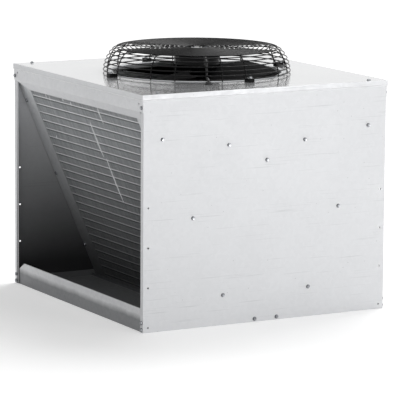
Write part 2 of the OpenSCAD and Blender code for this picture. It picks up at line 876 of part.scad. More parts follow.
module ring_groove() {
    translate([0, 0, cab_h + low_ring_h]) rotate_extrude($fn = 96)
        translate([guard_at(low_ring_h), 0, 0]) circle(d = wire_d + 2 * tube_fit, $fn = 24);
}

module guard_screws() {
    color("white") for (k = [0 : 3]) rotate(guard_turn_a + 90 * k)
        translate([guard_screw_r, 0, cab_h + foot_h]) screw(foot_h + screw_len);
}

module motor_screw_places() {
    for (k = [0 : motor_screw_count - 1])
        rotate(360 / motor_screw_count * (k + 1 / 4)) translate([motor_screw_r, 0, 0]) children();
}

// The round plate at the middle of the guard that carries the motor
module motor_plate() {
    color(zinc_inner) translate([0, 0, cab_h]) difference() {
        translate([0, 0, plate_under]) cylinder(r = plate_r, h = plate_t);
        translate([0, 0, plate_under - over]) motor_screw_places()
            cylinder(d = motor_screw_d + 2 * screw_fit, h = plate_t + 2 * over);
    }
}

motor_screw_head_d = 8;
motor_screw_head_h = 3;
motor_screw_depth = 6;
module motor_screws() {
    color("silver") translate([0, 0, cab_h + plate_top]) motor_screw_places() {
        cylinder(d = motor_screw_head_d, h = motor_screw_head_h);
        translate([0, 0, -plate_t - motor_screw_depth])
            cylinder(d = motor_screw_d, h = plate_t + motor_screw_depth);
    }
}

// The stator: a flange under the plate, a neck, and a core with two bearing seats
module motor_stator() {
    core_r = rotor_r - rotor_wall - air_gap;
    core_top = rotor_top - bearing_fit;
    color("lightgray") translate([0, 0, cab_h]) difference() {
        union() {
            translate([0, 0, flange_under]) cylinder(r = flange_r, h = flange_t);
            translate([0, 0, rotor_top - rotor_wall])
                cylinder(r = core_r - rotor_wall, h = motor_neck_h + rotor_wall);
            translate([0, 0, stator_bottom]) cylinder(r = core_r, h = core_top - stator_bottom);
        }
        translate([0, 0, stator_bottom - over])
            cylinder(d = shaft_d + 2 * shaft_play, h = plate_under - stator_bottom - motor_neck_h);
        translate([0, 0, stator_bottom - over]) cylinder(d = bearing_d, h = bearing_h + over);
        translate([0, 0, upper_bearing_z]) cylinder(d = bearing_d, h = bearing_h);
        translate([0, 0, plate_under - motor_screw_depth - screw_fit]) motor_screw_places()
            cylinder(d = motor_screw_d + 2 * screw_fit, h = motor_screw_depth + over);
    }
}

// Two ball bearings, drawn whole, in the ends of the stator core
upper_bearing_z = rotor_top - bearing_h - motor_neck_h;
module motor_bearings() {
    color("darkgray") for (z = [stator_bottom, upper_bearing_z]) translate([0, 0, cab_h + z])
        difference() {
            translate([0, 0, bearing_fit]) cylinder(d = bearing_d - 2 * bearing_fit,
                h = bearing_h - 2 * bearing_fit);
            translate([0, 0, -over]) cylinder(d = shaft_d + 2 * bearing_fit, h = bearing_h + 2 * over);
        }
}

module motor_shaft() {
    bottom = rotor_bottom + rotor_floor / 2;
    color("silver") translate([0, 0, cab_h + bottom])
        cylinder(d = shaft_d, h = upper_bearing_z + bearing_h + shaft_end - bottom);
}

// The outer rotor: a can open at the top, with a boss for the shaft
module rotor_can() {
    color(black) translate([0, 0, cab_h + rotor_bottom]) difference() {
        union() {
            difference() {
                cylinder(r = rotor_r, h = rotor_h, $fn = 96);
                translate([0, 0, rotor_floor]) cylinder(r = rotor_r - rotor_wall, h = rotor_h, $fn = 96);
            }
            cylinder(r = boss_r, h = rotor_floor + stator_gap - boss_gap);
        }
        translate([0, 0, rotor_floor / 2]) cylinder(d = shaft_d + 2 * bearing_fit, h = rotor_h);
    }
}

module blade_ring() {
    color(black) translate([0, 0, cab_h + blade_mid_h - blade_root_h / 2]) difference() {
        cylinder(r = blade_ring_r, h = blade_root_h, $fn = 96);
        translate([0, 0, -over]) cylinder(r = rotor_r + ring_gap, h = blade_root_h + 2 * over, $fn = 96);
    }
}

// A point of a blade: u goes from root to tip, v from leading to trailing edge
function blade_point(u, v, side) = let (
    r = blade_ring_r + blade_root_gap + u * (blade_tip_r - blade_ring_r - blade_root_gap),
    a = blade_sweep_a * u * u + blade_chord_a * (v - 1 / 2),
    h = (blade_root_h + (blade_tip_h - blade_root_h) * u - 2 * blade_camber) * (v - 1 / 2),
    z = blade_mid_h + h + blade_camber * (4 * v * (1 - v) - 1 / 2) + side * blade_t / 2)
    [r * cos(a), r * sin(a), cab_h + z];
module blade() {
    n = blade_steps;
    row = n + 1;
    sheet = row * row;
    points = [for (side = [-1, 1], i = [0 : n], j = [0 : n]) blade_point(i / n, j / n, side)];
    // Corner of the grid at step i, j on one side
    function at(i, j, side) = side * sheet + i * row + j;
    function quad(a, b, c, d) = [[a, b, c], [a, c, d]];
    faces = [for (i = [0 : n - 1]) each concat(
        [for (j = [0 : n - 1]) each quad(at(i, j, 0), at(i + 1, j, 0), at(i + 1, j + 1, 0), at(i, j + 1, 0))],
        [for (j = [0 : n - 1]) each quad(at(i, j, 1), at(i, j + 1, 1), at(i + 1, j + 1, 1), at(i + 1, j, 1))],
        quad(at(i, 0, 0), at(i, 0, 1), at(i + 1, 0, 1), at(i + 1, 0, 0)),
        quad(at(i, n, 0), at(i + 1, n, 0), at(i + 1, n, 1), at(i, n, 1)),
        quad(at(0, i, 0), at(0, i + 1, 0), at(0, i + 1, 1), at(0, i, 1)),
        quad(at(n, i, 0), at(n, i, 1), at(n, i + 1, 1), at(n, i + 1, 0)))];
    polyhedron(points, faces);
}

module fan_blades() {
    color(black) for (k = [0 : blade_count - 1]) rotate(360 / blade_count * k) blade();
}

// The motor lead: along the underside of the guard, out between two side rings,
// down through the gland in the lid, and into the top of the junction box
lead_under = guard_h - wire_d / 2 - lead_d / 2 - fit_gap;
lead_clear = 1;
lead_in = wire_d / 2 + lead_d / 2 + lead_clear;
lead_exit_h = guard_h * (guard_ring_shares[0] + guard_ring_shares[1]) / 2;
lead_high_shares = [0.78, 0.6, 0.43];
lead_lean_share = 0.4;
lead_box_y = -20;
lead_box_x = (box_back_x + box_front_x) / 2;
function around(r, h) = [r * cos(lead_a), r * sin(lead_a), cab_h + h];
function lead_path() = concat(
    [around(flange_r + fit_gap, flange_under + flange_t / 2), around(flange_r + 4 * lead_d, lead_under),
        around(guard_flat_r - 2 * lead_d, lead_under)],
    [for (share = lead_high_shares)
        around(guard_at(share * guard_h) - lead_in - lead_d * (share - lead_lean_share), share * guard_h)],
    [around(guard_r - lead_in, lead_exit_h + lead_d / 2), around(guard_r, lead_exit_h),
        around(gland_r - lead_d / 2, lead_exit_h), around(gland_r, lead_exit_h - lead_d / 2),
        around(gland_r, -gland_under_h - lead_d),
        [lead_box_x, (lead_box_y + gland_r * sin(lead_a)) / 2, (cab_h + bracket_top_z) / 2],
        [lead_box_x, lead_box_y, bracket_top_z + lead_d], [lead_box_x, lead_box_y, box_mid_z + box_h / 4]]);

module motor_lead() {
    color(black) bent_wire(lead_path(), lead_d, [-sin(lead_a), cos(lead_a), 0]);
}

module lead_gland() {
    color(black) rotate(lead_a) translate([gland_r, 0, cab_h]) difference() {
        union() {
            translate([0, 0, fit_gap]) cylinder(d = gland_flat / cos(30), h = gland_h / 2, $fn = 6);
            translate([0, 0, fit_gap]) cylinder(d = gland_d, h = gland_h - fit_gap);
            translate([0, 0, -gland_under_h]) cylinder(d = gland_d, h = gland_under_h + gland_h / 2);
            translate([0, 0, -gland_under_h]) cylinder(d = gland_flat / cos(30),
                h = gland_under_h - sheet_t - fit_gap, $fn = 6);
        }
        translate([0, 0, -2 * gland_under_h]) cylinder(d = lead_d + 2 * lead_fit, h = 4 * gland_under_h);
    }
}

// The plate inside the right panel that carries the electrical parts
module wiring_bracket() {
    color(zinc_inner) difference() {
        translate([bracket_x - sheet_t, -bracket_w / 2, bracket_top_z - bracket_h])
            cube([sheet_t, bracket_w, bracket_h]);
        for (p = bracket_screws) translate([0, p[0], p[1]]) drill_x(bracket_x, screw_hole_d, bracket_edge);
        box_screw_places() drill_x(bracket_x, wiring_screw_d + 2 * screw_fit, bracket_edge / 4);
        strap_screw_places() drill_x(bracket_x, wiring_screw_d + 2 * screw_fit, bracket_edge / 4);
    }
}

module box_screw_places() {
    for (s = [-1, 1]) translate([0, s * box_w / 3, box_mid_z + box_h / 4]) children();
}

module strap_screw_places() {
    for (s = [-1, 1])
        translate([0, capacitor_y + s * (capacitor_d / 2 + strap_w / 2), box_mid_z]) children();
}

module junction_box() {
    color(zinc) difference() {
        translate([box_front_x, -box_w / 2, box_mid_z - box_h / 2]) cube([box_d, box_w, box_h]);
        translate([box_front_x - over, box_wall - box_w / 2, box_mid_z - box_h / 2 + box_wall])
            cube([box_d - box_wall + over, box_w - 2 * box_wall, box_h - 2 * box_wall]);
        box_screw_places() drill_x(box_back_x, wiring_screw_d + 2 * screw_fit, box_wall + over);
        translate([lead_box_x, lead_box_y, box_mid_z]) cylinder(d = lead_d + 2 * screw_fit, h = box_h);
        translate([0, bracket_screws[2][0], bracket_screws[2][1]])
            drill_x(box_back_x, washer_d, box_wall + over);
    }
}

module junction_cover() {
    w = box_w + 2 * (cover_t + fit_gap);
    h = box_h + 2 * (cover_t + fit_gap);
    front = box_front_x - fit_gap - cover_t;
    color(zinc) difference() {
        translate([front, -w / 2, box_mid_z - h / 2]) cube([cover_lip, w, h]);
        translate([front + cover_t, -w / 2 + cover_t, box_mid_z - h / 2 + cover_t])
            cube([cover_lip, w - 2 * cover_t, h - 2 * cover_t]);
    }
}

// The terminal block stands on the back wall of the box
block_clear = fit_gap;
module terminal_block() {
    x = box_back_x - box_wall - block_clear - block_d;
    z = box_mid_z;
    color("ivory") difference() {
        translate([x, -block_w / 2, z - block_h / 2]) cube([block_d, block_w, block_h]);
        for (k = [-2 : 2]) translate([0, k * block_w / 6, z]) drill_x(x, block_w / 12, block_d / 3);
    }
}

module run_capacitor() {
    color("dimgray") translate([capacitor_x, capacitor_y, box_mid_z - capacitor_h / 2]) {
        cylinder(d = capacitor_d, h = capacitor_h);
        for (s = [-1, 1]) translate([0, s * capacitor_d / 5, capacitor_h])
            cylinder(d = capacitor_d / 8, h = capacitor_d / 4);
    }
}

capacitor_x = box_back_x - capacitor_d / 2;
module capacitor_strap() {
    r = capacitor_d / 2 + fit_gap;
    ear = capacitor_d / 2 + strap_w;
    tab = box_back_x - sheet_t;
    color(zinc_inner) translate([0, capacitor_y, box_mid_z - strap_w / 2]) difference() {
        union() {
            translate([capacitor_x, 0, 0]) cylinder(r = r + sheet_t, h = strap_w);
            translate([tab, -ear, 0]) cube([sheet_t, 2 * ear, strap_w]);
            translate([capacitor_x, -r - sheet_t, 0]) cube([tab - capacitor_x, 2 * (r + sheet_t), strap_w]);
        }
        translate([capacitor_x, 0, -over]) cylinder(r = r, h = strap_w + 2 * over);
        translate([capacitor_x, -r, -over]) cube([capacitor_d, 2 * r, strap_w + 2 * over]);
        translate([0, -capacitor_y, strap_w / 2 - box_mid_z]) strap_screw_places()
            drill_x(tab, wiring_screw_d + 2 * screw_fit, strap_w / 2);
    }
}

// Small round-head screws for the box and the strap, driven towards the panel
module wiring_screws() {
    module wiring_screw(x) {
        translate([x, 0, 0]) rotate([0, -90, 0]) {
            cylinder(d = 2 * wiring_screw_d, h = wiring_screw_d / 2);
            translate([0, 0, x - bracket_x]) cylinder(d = wiring_screw_d, h = bracket_x - x);
        }
    }
    color("silver") {
        box_screw_places() wiring_screw(box_back_x - box_wall);
        strap_screw_places() wiring_screw(box_back_x - sheet_t);
    }
}

module lid_screws() {
    color("silver") for (s = [-1, 1], t = [-1, 1])
        translate([s * lid_screw_x, t * lid_screw_y, cab_h]) screw();
}

module side_screw_row(places) {
    for (p = places) translate([side_x, p[0], p[1]]) rotate([0, 90, 0]) screw();
}

side_screw_all = [for (s = [-1, 1]) each concat([for (p = side_screw_set) [s * p[0], p[1]]],
    [[s * base_screw_y, base_screw_z]])];
module side_screws_right() {
    color("silver") {
        side_screw_row(side_screw_all);
        side_screw_row(bracket_screws);
    }
}

module side_screws_left() {
    color("silver") facing_left() side_screw_row(side_screw_all);
}

// Screws through the posts: two into the base flange and one through the rail
module post_screws() {
    color("silver") for (s = [0, 1], t = [0, 1]) mirror([s, 0, 0]) mirror([0, t, 0]) {
        for (k = [0, 1]) translate([post_screw_x, -post_y, post_screw_heights[k]])
            rotate([90, 0, 0]) screw();
        translate([post_screw_x, -rail_y, post_screw_heights[2]]) rotate([90, 0, 0]) screw();
    }
}

module baffle_screws() {
    color("silver") for (s = [0, 1], t = [0, 1]) mirror([s, 0, 0]) mirror([0, t, 0]) coil_frame()
        for (z = baffle_screw_heights) translate([baffle_screw_x, -fit_gap - baffle_t, z])
            rotate([90, 0, 0]) screw();
}

base_pan();
base_channel();
side_panel_left();
side_panel_right();
top_panel();
fan_orifice();
top_rail_front();
top_rail_back();
end_baffle_front_left();
end_baffle_front_right();
end_baffle_back_left();
end_baffle_back_right();
side_angles_front();
side_angles_back();
coil_rest_front();
coil_rest_back();
fins_front();
fins_back();
end_plate_front_left();
end_plate_front_right();
end_plate_back_left();
end_plate_back_right();
tubes_front();
tubes_back();
return_bends_front();
return_bends_back();
gas_header_front();
gas_header_back();
liquid_header_front();
liquid_header_back();
gas_pipe();
liquid_pipe();
panel_grommets();
guard_top_rings();
guard_side_rings();
guard_spokes();
guard_feet();
guard_screws();
motor_plate();
motor_screws();
motor_stator();
motor_bearings();
motor_shaft();
rotor_can();
blade_ring();
fan_blades();
motor_lead();
lead_gland();
wiring_bracket();
junction_box();
junction_cover();
terminal_block();
run_capacitor();
capacitor_strap();
wiring_screws();
lid_screws();
side_screws_right();
side_screws_left();
post_screws();
baffle_screws();
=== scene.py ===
"""Looks of a remote air-cooled condenser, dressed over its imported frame.

The cabinet is galvanised sheet, the coils are aluminium fins on copper tubes, and the
guard and the fan are black. Lengths in the fields are millimetres and angles are degrees,
unless a comment says something else.
"""
import json
import logging
import math
import random
from collections.abc import Callable
from dataclasses import dataclass
from enum import Enum

import bmesh
import bpy
from mathutils import Matrix, Vector


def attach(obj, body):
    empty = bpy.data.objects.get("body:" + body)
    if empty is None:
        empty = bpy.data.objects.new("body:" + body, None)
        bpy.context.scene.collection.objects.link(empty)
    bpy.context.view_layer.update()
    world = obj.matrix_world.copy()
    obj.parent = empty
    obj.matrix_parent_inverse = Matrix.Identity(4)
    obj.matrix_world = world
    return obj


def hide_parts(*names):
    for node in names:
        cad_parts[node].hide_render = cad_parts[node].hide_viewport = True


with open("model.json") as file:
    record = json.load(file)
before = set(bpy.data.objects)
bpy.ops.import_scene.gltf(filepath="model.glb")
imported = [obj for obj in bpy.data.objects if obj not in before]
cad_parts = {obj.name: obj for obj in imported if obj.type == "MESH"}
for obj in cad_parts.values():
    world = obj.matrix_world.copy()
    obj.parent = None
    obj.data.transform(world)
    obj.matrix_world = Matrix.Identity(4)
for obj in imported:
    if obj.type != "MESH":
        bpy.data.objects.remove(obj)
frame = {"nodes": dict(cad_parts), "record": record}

Mesh = bmesh.types.BMesh
Piece = bpy.types.Object
Tree = bpy.types.NodeTree
Socket = bpy.types.NodeSocket

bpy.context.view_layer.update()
LOG = logging.getLogger("condenser")
MM = 0.001
WHITE = (1.0, 1.0, 1.0, 1.0)

# Height of the lid's upper face
LID_Z = 612.0
# Points nearer to each other than this are joined
WELD = 0.002
# Faces that meet at less than the flat angle are joined. From the curve angle up to the edge
# angle they are part of a curve, and beyond it they form an edge that gets rounded.
FLAT_ANGLE = 0.5
CURVE_ANGLE = 1.0
EDGE_ANGLE = 30.0
# Sides of a round wire, and the angle below which its faces are shaded smooth
WIRE_SIDES = 10
WIRE_SMOOTH = 60.0


class Body(Enum):
    """The bodies that a piece can ride on."""

    CABINET = "cabinet"
    FAN = "fan"


class Side(Enum):
    """The two coils, each with its name and the sign of its side along Y."""

    FRONT = ("front", -1)
    BACK = ("back", 1)

    @property
    def label(self) -> str:
        """Return the word for this side in the names of nodes."""
        return self.value[0]

    @property
    def sign(self) -> int:
        """Return the sign of this side along Y."""
        return self.value[1]


def linear(code: str) -> tuple[float, float, float, float]:
    """Turn an sRGB colour to linear light.

    Args:
        code: Six hexadecimal digits after a hash sign.

    Returns:
        Red, green, blue and an alpha of one.
    """
    parts = [int(code[i:i + 2], 16) / 255 for i in (1, 3, 5)]
    parts = [p / 12.92 if p <= 0.04045 else ((p + 0.055) / 1.055) ** 2.4 for p in parts]
    return (*parts, 1.0)


def per_mm(size: float) -> float:
    """Return the texture scale that gives features of that size in millimetres."""
    return 1 / (size * MM)


def cleared(owner: bpy.types.Material | bpy.types.World) -> Tree:
    """Switch on the nodes of a material or a world, and take out the ones it starts with.

    Args:
        owner: The material or the world.

    Returns:
        Its empty node tree.
    """
    owner.use_nodes = True
    owner.node_tree.nodes.clear()
    return owner.node_tree


def add_node(tree: Tree, kind: str, inputs: dict | None = None,
             **settings: object) -> bpy.types.Node:
    """Add a shader node with its settings and links.

    Args:
        tree: The node tree that gets the node.
        kind: Blender's name of the node type, without the "ShaderNode" that starts it.
        inputs: Values or linked sockets for the node's inputs, by name or number.
        **settings: Properties of the node itself.

    Returns:
        The new node.
    """
    node = tree.nodes.new(f"ShaderNode{kind}")
    for name, value in settings.items():
        setattr(node, name, value)
    for key, value in (inputs or {}).items():
        if isinstance(value, Socket):
            tree.links.new(value, node.inputs[key])
        else:
            node.inputs[key].default_value = value
    return node


@dataclass(frozen=True)
class Finish:
    """A finish with a fine grain, such as moulded plastic or cast metal."""

    name: str
    slot: str
    colour: str
    dark: str
    metallic: float
    roughness: float
    gloss_range: float = 0.06
    # A real grain is well under a millimetre and wouldn't show, so it is drawn coarser
    grain: float = 4.0
    grain_detail: float = 4.0
    grain_roughness: float = 0.6
    patch_ratio: float = 12.0
    patch_ends: tuple[float, float] = (0.3, 0.7)
    tone_ends: tuple[float, float] = (0.1, 0.4)
    relief: float = 0.05
    relief_share: float = 0.5
    specular: float = 0.5

    def material(self) -> bpy.types.Material:
        """Give this finish's material, which is made on its first use.

        Returns:
            The material.
        """
        found = bpy.data.materials.get(self.name)
        if found:
            return found
        material = bpy.data.materials.new(self.name)
        tree = cleared(material)
        place = add_node(tree, "TexCoord").outputs["Object"]
        looks = {"Metallic": self.metallic, "Roughness": self.roughness,
                 "Specular IOR Level": self.specular, **self.paint(tree, place)}
        shader = add_node(tree, "BsdfPrincipled", looks)
        add_node(tree, "OutputMaterial", {"Surface": shader.outputs["BSDF"]})
        return material

    def paint(self, tree: Tree, place: Socket) -> dict[str, Socket]:
        """Vary colour, gloss and height with the grain.

        Args:
            tree: The material's node tree.
            place: The object coordinates, in metres.

        Returns:
            The shader's inputs that vary, by name.
        """
        grain = add_node(tree, "TexNoise",
                         {"Vector": place, "Scale": per_mm(self.grain),
                          "Detail": self.grain_detail, "Roughness": self.grain_roughness})
        patch = add_node(tree, "TexNoise",
                         {"Vector": place, "Scale": per_mm(self.patch_ratio * self.grain)})
        both = add_node(tree, "Math", {0: grain.outputs["Fac"], 1: patch.outputs["Fac"]},
                        operation="MULTIPLY")
        tone = add_node(tree, "MapRange",
                        {"Value": both.outputs[0], "From Min": self.tone_ends[0],
                         "From Max": self.tone_ends[1]})
        colour = add_node(tree, "Mix", {0: tone.outputs[0], 6: linear(self.dark),
                                        7: linear(self.colour)}, data_type="RGBA")
        gloss = add_node(tree, "MapRange",
                         {"Value": patch.outputs["Fac"], "From Min": self.patch_ends[0],
                          "From Max": self.patch_ends[1],
                          "To Min": self.roughness - self.gloss_range,
                          "To Max": self.roughness + self.gloss_range})
        bump = add_node(tree, "Bump",
                        {"Height": grain.outputs["Fac"], "Strength": self.relief_share,
                         "Distance": self.relief * MM})
        return {"Base Color": colour.outputs[2], "Roughness": gloss.outputs[0],
                "Normal": bump.outputs[0]}


@dataclass(frozen=True)
class ZincSheet(Finish):
    """Steel sheet with a hot-dip zinc coat: faint spangle, handling scratches and specks."""

    tone_ends: tuple[float, float] = (0.35, 0.95)
    relief_share: float = 0.4
    spangle: float = 9.0
    spangle_share: float = 0.35
    patina: float = 160.0
    patina_detail: float = 3.0
    scratch: str = "#8e9092"
    # A real scratch is a few tenths of a millimetre wide, so it is drawn wider to show
    scratch_w: float = 3.5
    scratch_detail: float = 1.0
    scratch_thinning: float = 0.02
    scratch_ends: tuple[float, float] = (0.70, 0.78)
    scratch_share: float = 0.2
    # Directions of the scratches, in radians
    scratch_turns: tuple[tuple[float, float, float], ...] = (
        (0.03, 0.0, 0.1), (1.54, 0.0, 1.5), (0.8, 0.3, 0.7))
    speck: str = "#8a8b8c"
    speck_gap: float = 26.0
    speck_ends: tuple[float, float] = (0.05, 0.03)
    speck_share: float = 0.6
    # Painted shade: a darker colour towards the floor, on the inward faces only where asked
    painted_shade: str = "#4a4c4f"
    painted_shade_low: float = 0.0
    painted_shade_high: float = 0.0
    painted_shade_share: float = 0.0
    painted_shade_inside: bool = False
    # The waves of the painted shade's upper limit: how long and how high they are
    painted_shade_wave: float = 60.0
    painted_shade_wave_h: float = 14.0

    def with_painted_shade(self, tree: Tree, place: Socket, surface: Socket) -> Socket:
        """Lay painted shade over a colour, darker towards the floor, with a wavy upper limit.

        Args:
            tree: The material's node tree.
            place: The object coordinates, in metres.
            surface: The clean colour.

        Returns:
            The colour with the painted shade over it.
        """
        axes = add_node(tree, "SeparateXYZ", {0: place})
        wave = add_node(tree, "TexNoise", {"Vector": place, "Scale": per_mm(self.painted_shade_wave),
                                           "Detail": self.patina_detail})
        height = add_node(tree, "Math", {0: wave.outputs["Fac"], 1: self.painted_shade_wave_h * MM,
                                         2: axes.outputs["Z"]}, operation="MULTIPLY_ADD")
        mask = add_node(tree, "MapRange",
                        {"Value": height.outputs[0], "From Min": self.painted_shade_high * MM,
                         "From Max": self.painted_shade_low * MM, "To Max": self.painted_shade_share})
        if self.painted_shade_inside:
            # A face looks inwards where its normal points back towards the middle
            facing = add_node(tree, "NewGeometry")
            normal = add_node(tree, "SeparateXYZ", {0: facing.outputs["Normal"]})
            turned = add_node(tree, "Math", {0: normal.outputs["X"], 1: axes.outputs["X"]},
                              operation="MULTIPLY")
            inward = add_node(tree, "Math", {0: turned.outputs[0], 1: 0.0},
                              operation="LESS_THAN")
            mask = add_node(tree, "Math", {0: mask.outputs[0], 1: inward.outputs[0]},
                            operation="MULTIPLY")
        return add_node(tree, "Mix", {0: mask.outputs[0], 6: surface, 7: linear(self.painted_shade)},
                        data_type="RGBA").outputs[2]

    def scuffed(self, tree: Tree, place: Socket, surface: Socket) -> Socket:
        """Lay the scratches and the specks that handling leaves over a colour.

        Args:
            tree: The material's node tree.
            place: The object coordinates, in metres.
            surface: The colour before it was handled.

        Returns:
            The colour with the scratches and the specks over it.
        """
        # Long, thin noise in three directions gives the scratches
        for turn in self.scratch_turns:
            turned = add_node(tree, "Mapping", {"Vector": place, "Rotation": turn,
                                                "Scale": (1, self.scratch_thinning, 1)})
            lines = add_node(tree, "TexNoise",
                             {"Vector": turned.outputs[0], "Scale": per_mm(self.scratch_w),
                              "Detail": self.scratch_detail})
            mask = add_node(tree, "MapRange",
                            {"Value": lines.outputs["Fac"], "From Min": self.scratch_ends[0],
                             "From Max": self.scratch_ends[1], "To Max": self.scratch_share})
            surface = add_node(tree, "Mix", {0: mask.outputs[0], 6: surface,
                                             7: linear(self.scratch)},
                               data_type="RGBA").outputs[2]
        dots = add_node(tree, "TexVoronoi", {"Vector": place, "Scale": per_mm(self.speck_gap)})
        near = add_node(tree, "MapRange",
                        {"Value": dots.outputs["Distance"], "From Min": self.speck_ends[0],
                         "From Max": self.speck_ends[1], "To Max": self.speck_share})
        return add_node(tree, "Mix", {0: near.outputs[0], 6: surface, 7: linear(self.speck)},
                        data_type="RGBA").outputs[2]

    def paint(self, tree: Tree, place: Socket) -> dict[str, Socket]:
        """Lay the zinc crystals and the patina, then what handling leaves on them, and painted
        shade where a share of it is set.

        Args:
            tree: The material's node tree.
            place: The object coordinates, in metres.

        Returns:
            The shader's inputs that vary, by name.
        """
        crystals = add_node(tree, "TexVoronoi", {"Vector": place, "Scale": per_mm(self.spangle)})
        cell = add_node(tree, "SeparateColor", {0: crystals.outputs["Color"]})
        patina = add_node(tree, "TexNoise", {"Vector": place, "Scale": per_mm(self.patina),
                                             "Detail": self.patina_detail})
        both = add_node(tree, "Math", {0: cell.outputs["Red"], 1: self.spangle_share,
                                       2: patina.outputs["Fac"]}, operation="MULTIPLY_ADD")
        tone = add_node(tree, "MapRange",
                        {"Value": both.outputs[0], "From Min": self.tone_ends[0],
                         "From Max": self.tone_ends[1]})
        colour = add_node(tree, "Mix", {0: tone.outputs[0], 6: linear(self.dark),
                                        7: linear(self.colour)}, data_type="RGBA")
        surface = self.scuffed(tree, place, colour.outputs[2])
        # Painted shade, darker towards the floor
        if self.painted_shade_share:
            surface = self.with_painted_shade(tree, place, surface)
        gloss = add_node(tree, "MapRange",
                         {"Value": cell.outputs["Green"],
                          "To Min": self.roughness - self.gloss_range,
                          "To Max": self.roughness + self.gloss_range})
        bump = add_node(tree, "Bump",
                        {"Height": patina.outputs["Fac"], "Strength": self.relief_share,
                         "Distance": self.relief * MM})
        return {"Base Color": surface, "Roughness": gloss.outputs[0],
                "Normal": bump.outputs[0]}


@dataclass(frozen=True)
class Slope:
    """Where the front face of a coil lies, and how its tube rows are spaced."""

    tilt: float = 23.2
    pitch: float = 25.4
    rows: int = 23
    foot_y: float = 114.62
    foot_z: float = 12.0
    # How far the first row is from the foot, as a share of the pitch
    row_share: float = 0.25

    @property
    def lean(self) -> float:
        """Return the tilt in radians."""
        return math.radians(self.tilt)


SLOPE = Slope()


@dataclass(frozen=True)
class FinStock(Finish):
    """Mill-finish aluminium fin stock: a painted highlight and a painted shade band at each tube
    row, and painted shade lower down.
    """

    slope: Slope = SLOPE
    # Painted highlight along each tube row, and painted shade in a band just below it
    painted_highlight: str = "#ffffff"
    painted_row_shade: str = "#4a4c50"
    # The middle and the half width of the painted highlight and of the painted shade band below
    # it, as shares of the pitch of the rows, and how much of their colour shows
    painted_highlight_band: tuple[float, float, float] = (0.5, 0.09, 0.85)
    painted_row_shade_band: tuple[float, float, float] = (0.34, 0.1, 0.6)
    # A band is full within this part of its half width
    core_ratio: float = 3.0
    # The marks of rolling are finer than this, so they are drawn wider to show
    streak: float = 6.0
    streak_detail: float = 3.0
    streak_thinning: float = 0.03
    streak_ends: tuple[float, float] = (0.3, 0.7)
    # Painted shade that darkens the fins towards the floor
    painted_dimming: str = "#1e1f21"
    painted_dimming_low: float = 40.0
    painted_dimming_high: float = 480.0
    painted_dimming_share: float = 0.8

    def row_part(self, tree: Tree, axes: bpy.types.Node) -> Socket:
        """Work out how far a place is from one tube row to the next.

        Args:
            tree: The material's node tree.
            axes: The node that gives X, Y and Z in metres.

        Returns:
            A share from zero to one, which is a half at each tube row.
        """
        slope = self.slope
        depth = add_node(tree, "Math", {0: axes.outputs["Y"]}, operation="ABSOLUTE")
        out = add_node(tree, "Math", {0: depth.outputs[0], 1: -slope.foot_y * MM},
                       operation="ADD")
        rise = add_node(tree, "Math", {0: axes.outputs["Z"], 1: -slope.foot_z * MM},
                        operation="ADD")
        along = add_node(tree, "Math", {0: out.outputs[0], 1: math.sin(slope.lean)},
                         operation="MULTIPLY")
        height = add_node(tree, "Math", {0: rise.outputs[0], 1: math.cos(slope.lean),
                                         2: along.outputs[0]}, operation="MULTIPLY_ADD")
        turns = add_node(tree, "Math", {0: height.outputs[0], 1: per_mm(slope.pitch),
                                        2: 0.5 - slope.row_share}, operation="MULTIPLY_ADD")
        return add_node(tree, "Math", {0: turns.outputs[0]}, operation="FRACT").outputs[0]

    def banded(self, tree: Tree, part: Socket, surface: Socket, code: str,
               band: tuple[float, float, float]) -> Socket:
        """Lay a band along each tube row over a colour.

        Args:
            tree: The material's node tree.
            part: How far the place is from one tube row to the next.
            surface: The colour under the band.
            code: The band's own colour.
            band: Its middle, its half width and its strength.

        Returns:
            The colour with the band over it.
        """
        middle, half, strength = band
        off = add_node(tree, "Math", {0: part, 1: -middle}, operation="ADD")
        far = add_node(tree, "Math", {0: off.outputs[0]}, operation="ABSOLUTE")
        mask = add_node(tree, "MapRange",
                        {"Value": far.outputs[0], "From Min": half,
                         "From Max": half / self.core_ratio, "To Max": strength})
        return add_node(tree, "Mix", {0: mask.outputs[0], 6: surface, 7: linear(code)},
                        data_type="RGBA").outputs[2]

    def paint(self, tree: Tree, place: Socket) -> dict[str, Socket]:
        """Draw the painted highlights and painted shade bands along the slope, and paint shade
        that darkens the fins towards the floor.

        Args:
            tree: The material's node tree.
            place: The object coordinates, in metres.

        Returns:
            The shader's inputs that vary, by name.
        """
        axes = add_node(tree, "SeparateXYZ", {0: place})
        part = self.row_part(tree, axes)
        thinned = add_node(tree, "Mapping",
                           {"Vector": place,
                            "Scale": (1, self.streak_thinning, self.streak_thinning)})
        streaks = add_node(tree, "TexNoise",
                           {"Vector": thinned.outputs[0], "Scale": per_mm(self.streak),
                            "Detail": self.streak_detail})
        tone = add_node(tree, "MapRange",
                        {"Value": streaks.outputs["Fac"], "From Min": self.streak_ends[0],
                         "From Max": self.streak_ends[1]})
        metal = add_node(tree, "Mix", {0: tone.outputs[0], 6: linear(self.dark),
                                       7: linear(self.colour)}, data_type="RGBA")
        # Painted shade just below each tube row, then a painted highlight on the row
        row_shaded = self.banded(tree, part, metal.outputs[2], self.painted_row_shade, self.painted_row_shade_band)
        highlighted = self.banded(tree, part, row_shaded, self.painted_highlight, self.painted_highlight_band)
        # Painted shade, darker towards the floor
        painted_dimming = add_node(tree, "MapRange",
                        {"Value": axes.outputs["Z"], "From Min": self.painted_dimming_high * MM,
                         "From Max": self.painted_dimming_low * MM, "To Max": self.painted_dimming_share})
        dimmed = add_node(tree, "Mix", {0: painted_dimming.outputs[0], 6: highlighted, 7: linear(self.painted_dimming)},
                         data_type="RGBA")
        return {"Base Color": dimmed.outputs[2]}


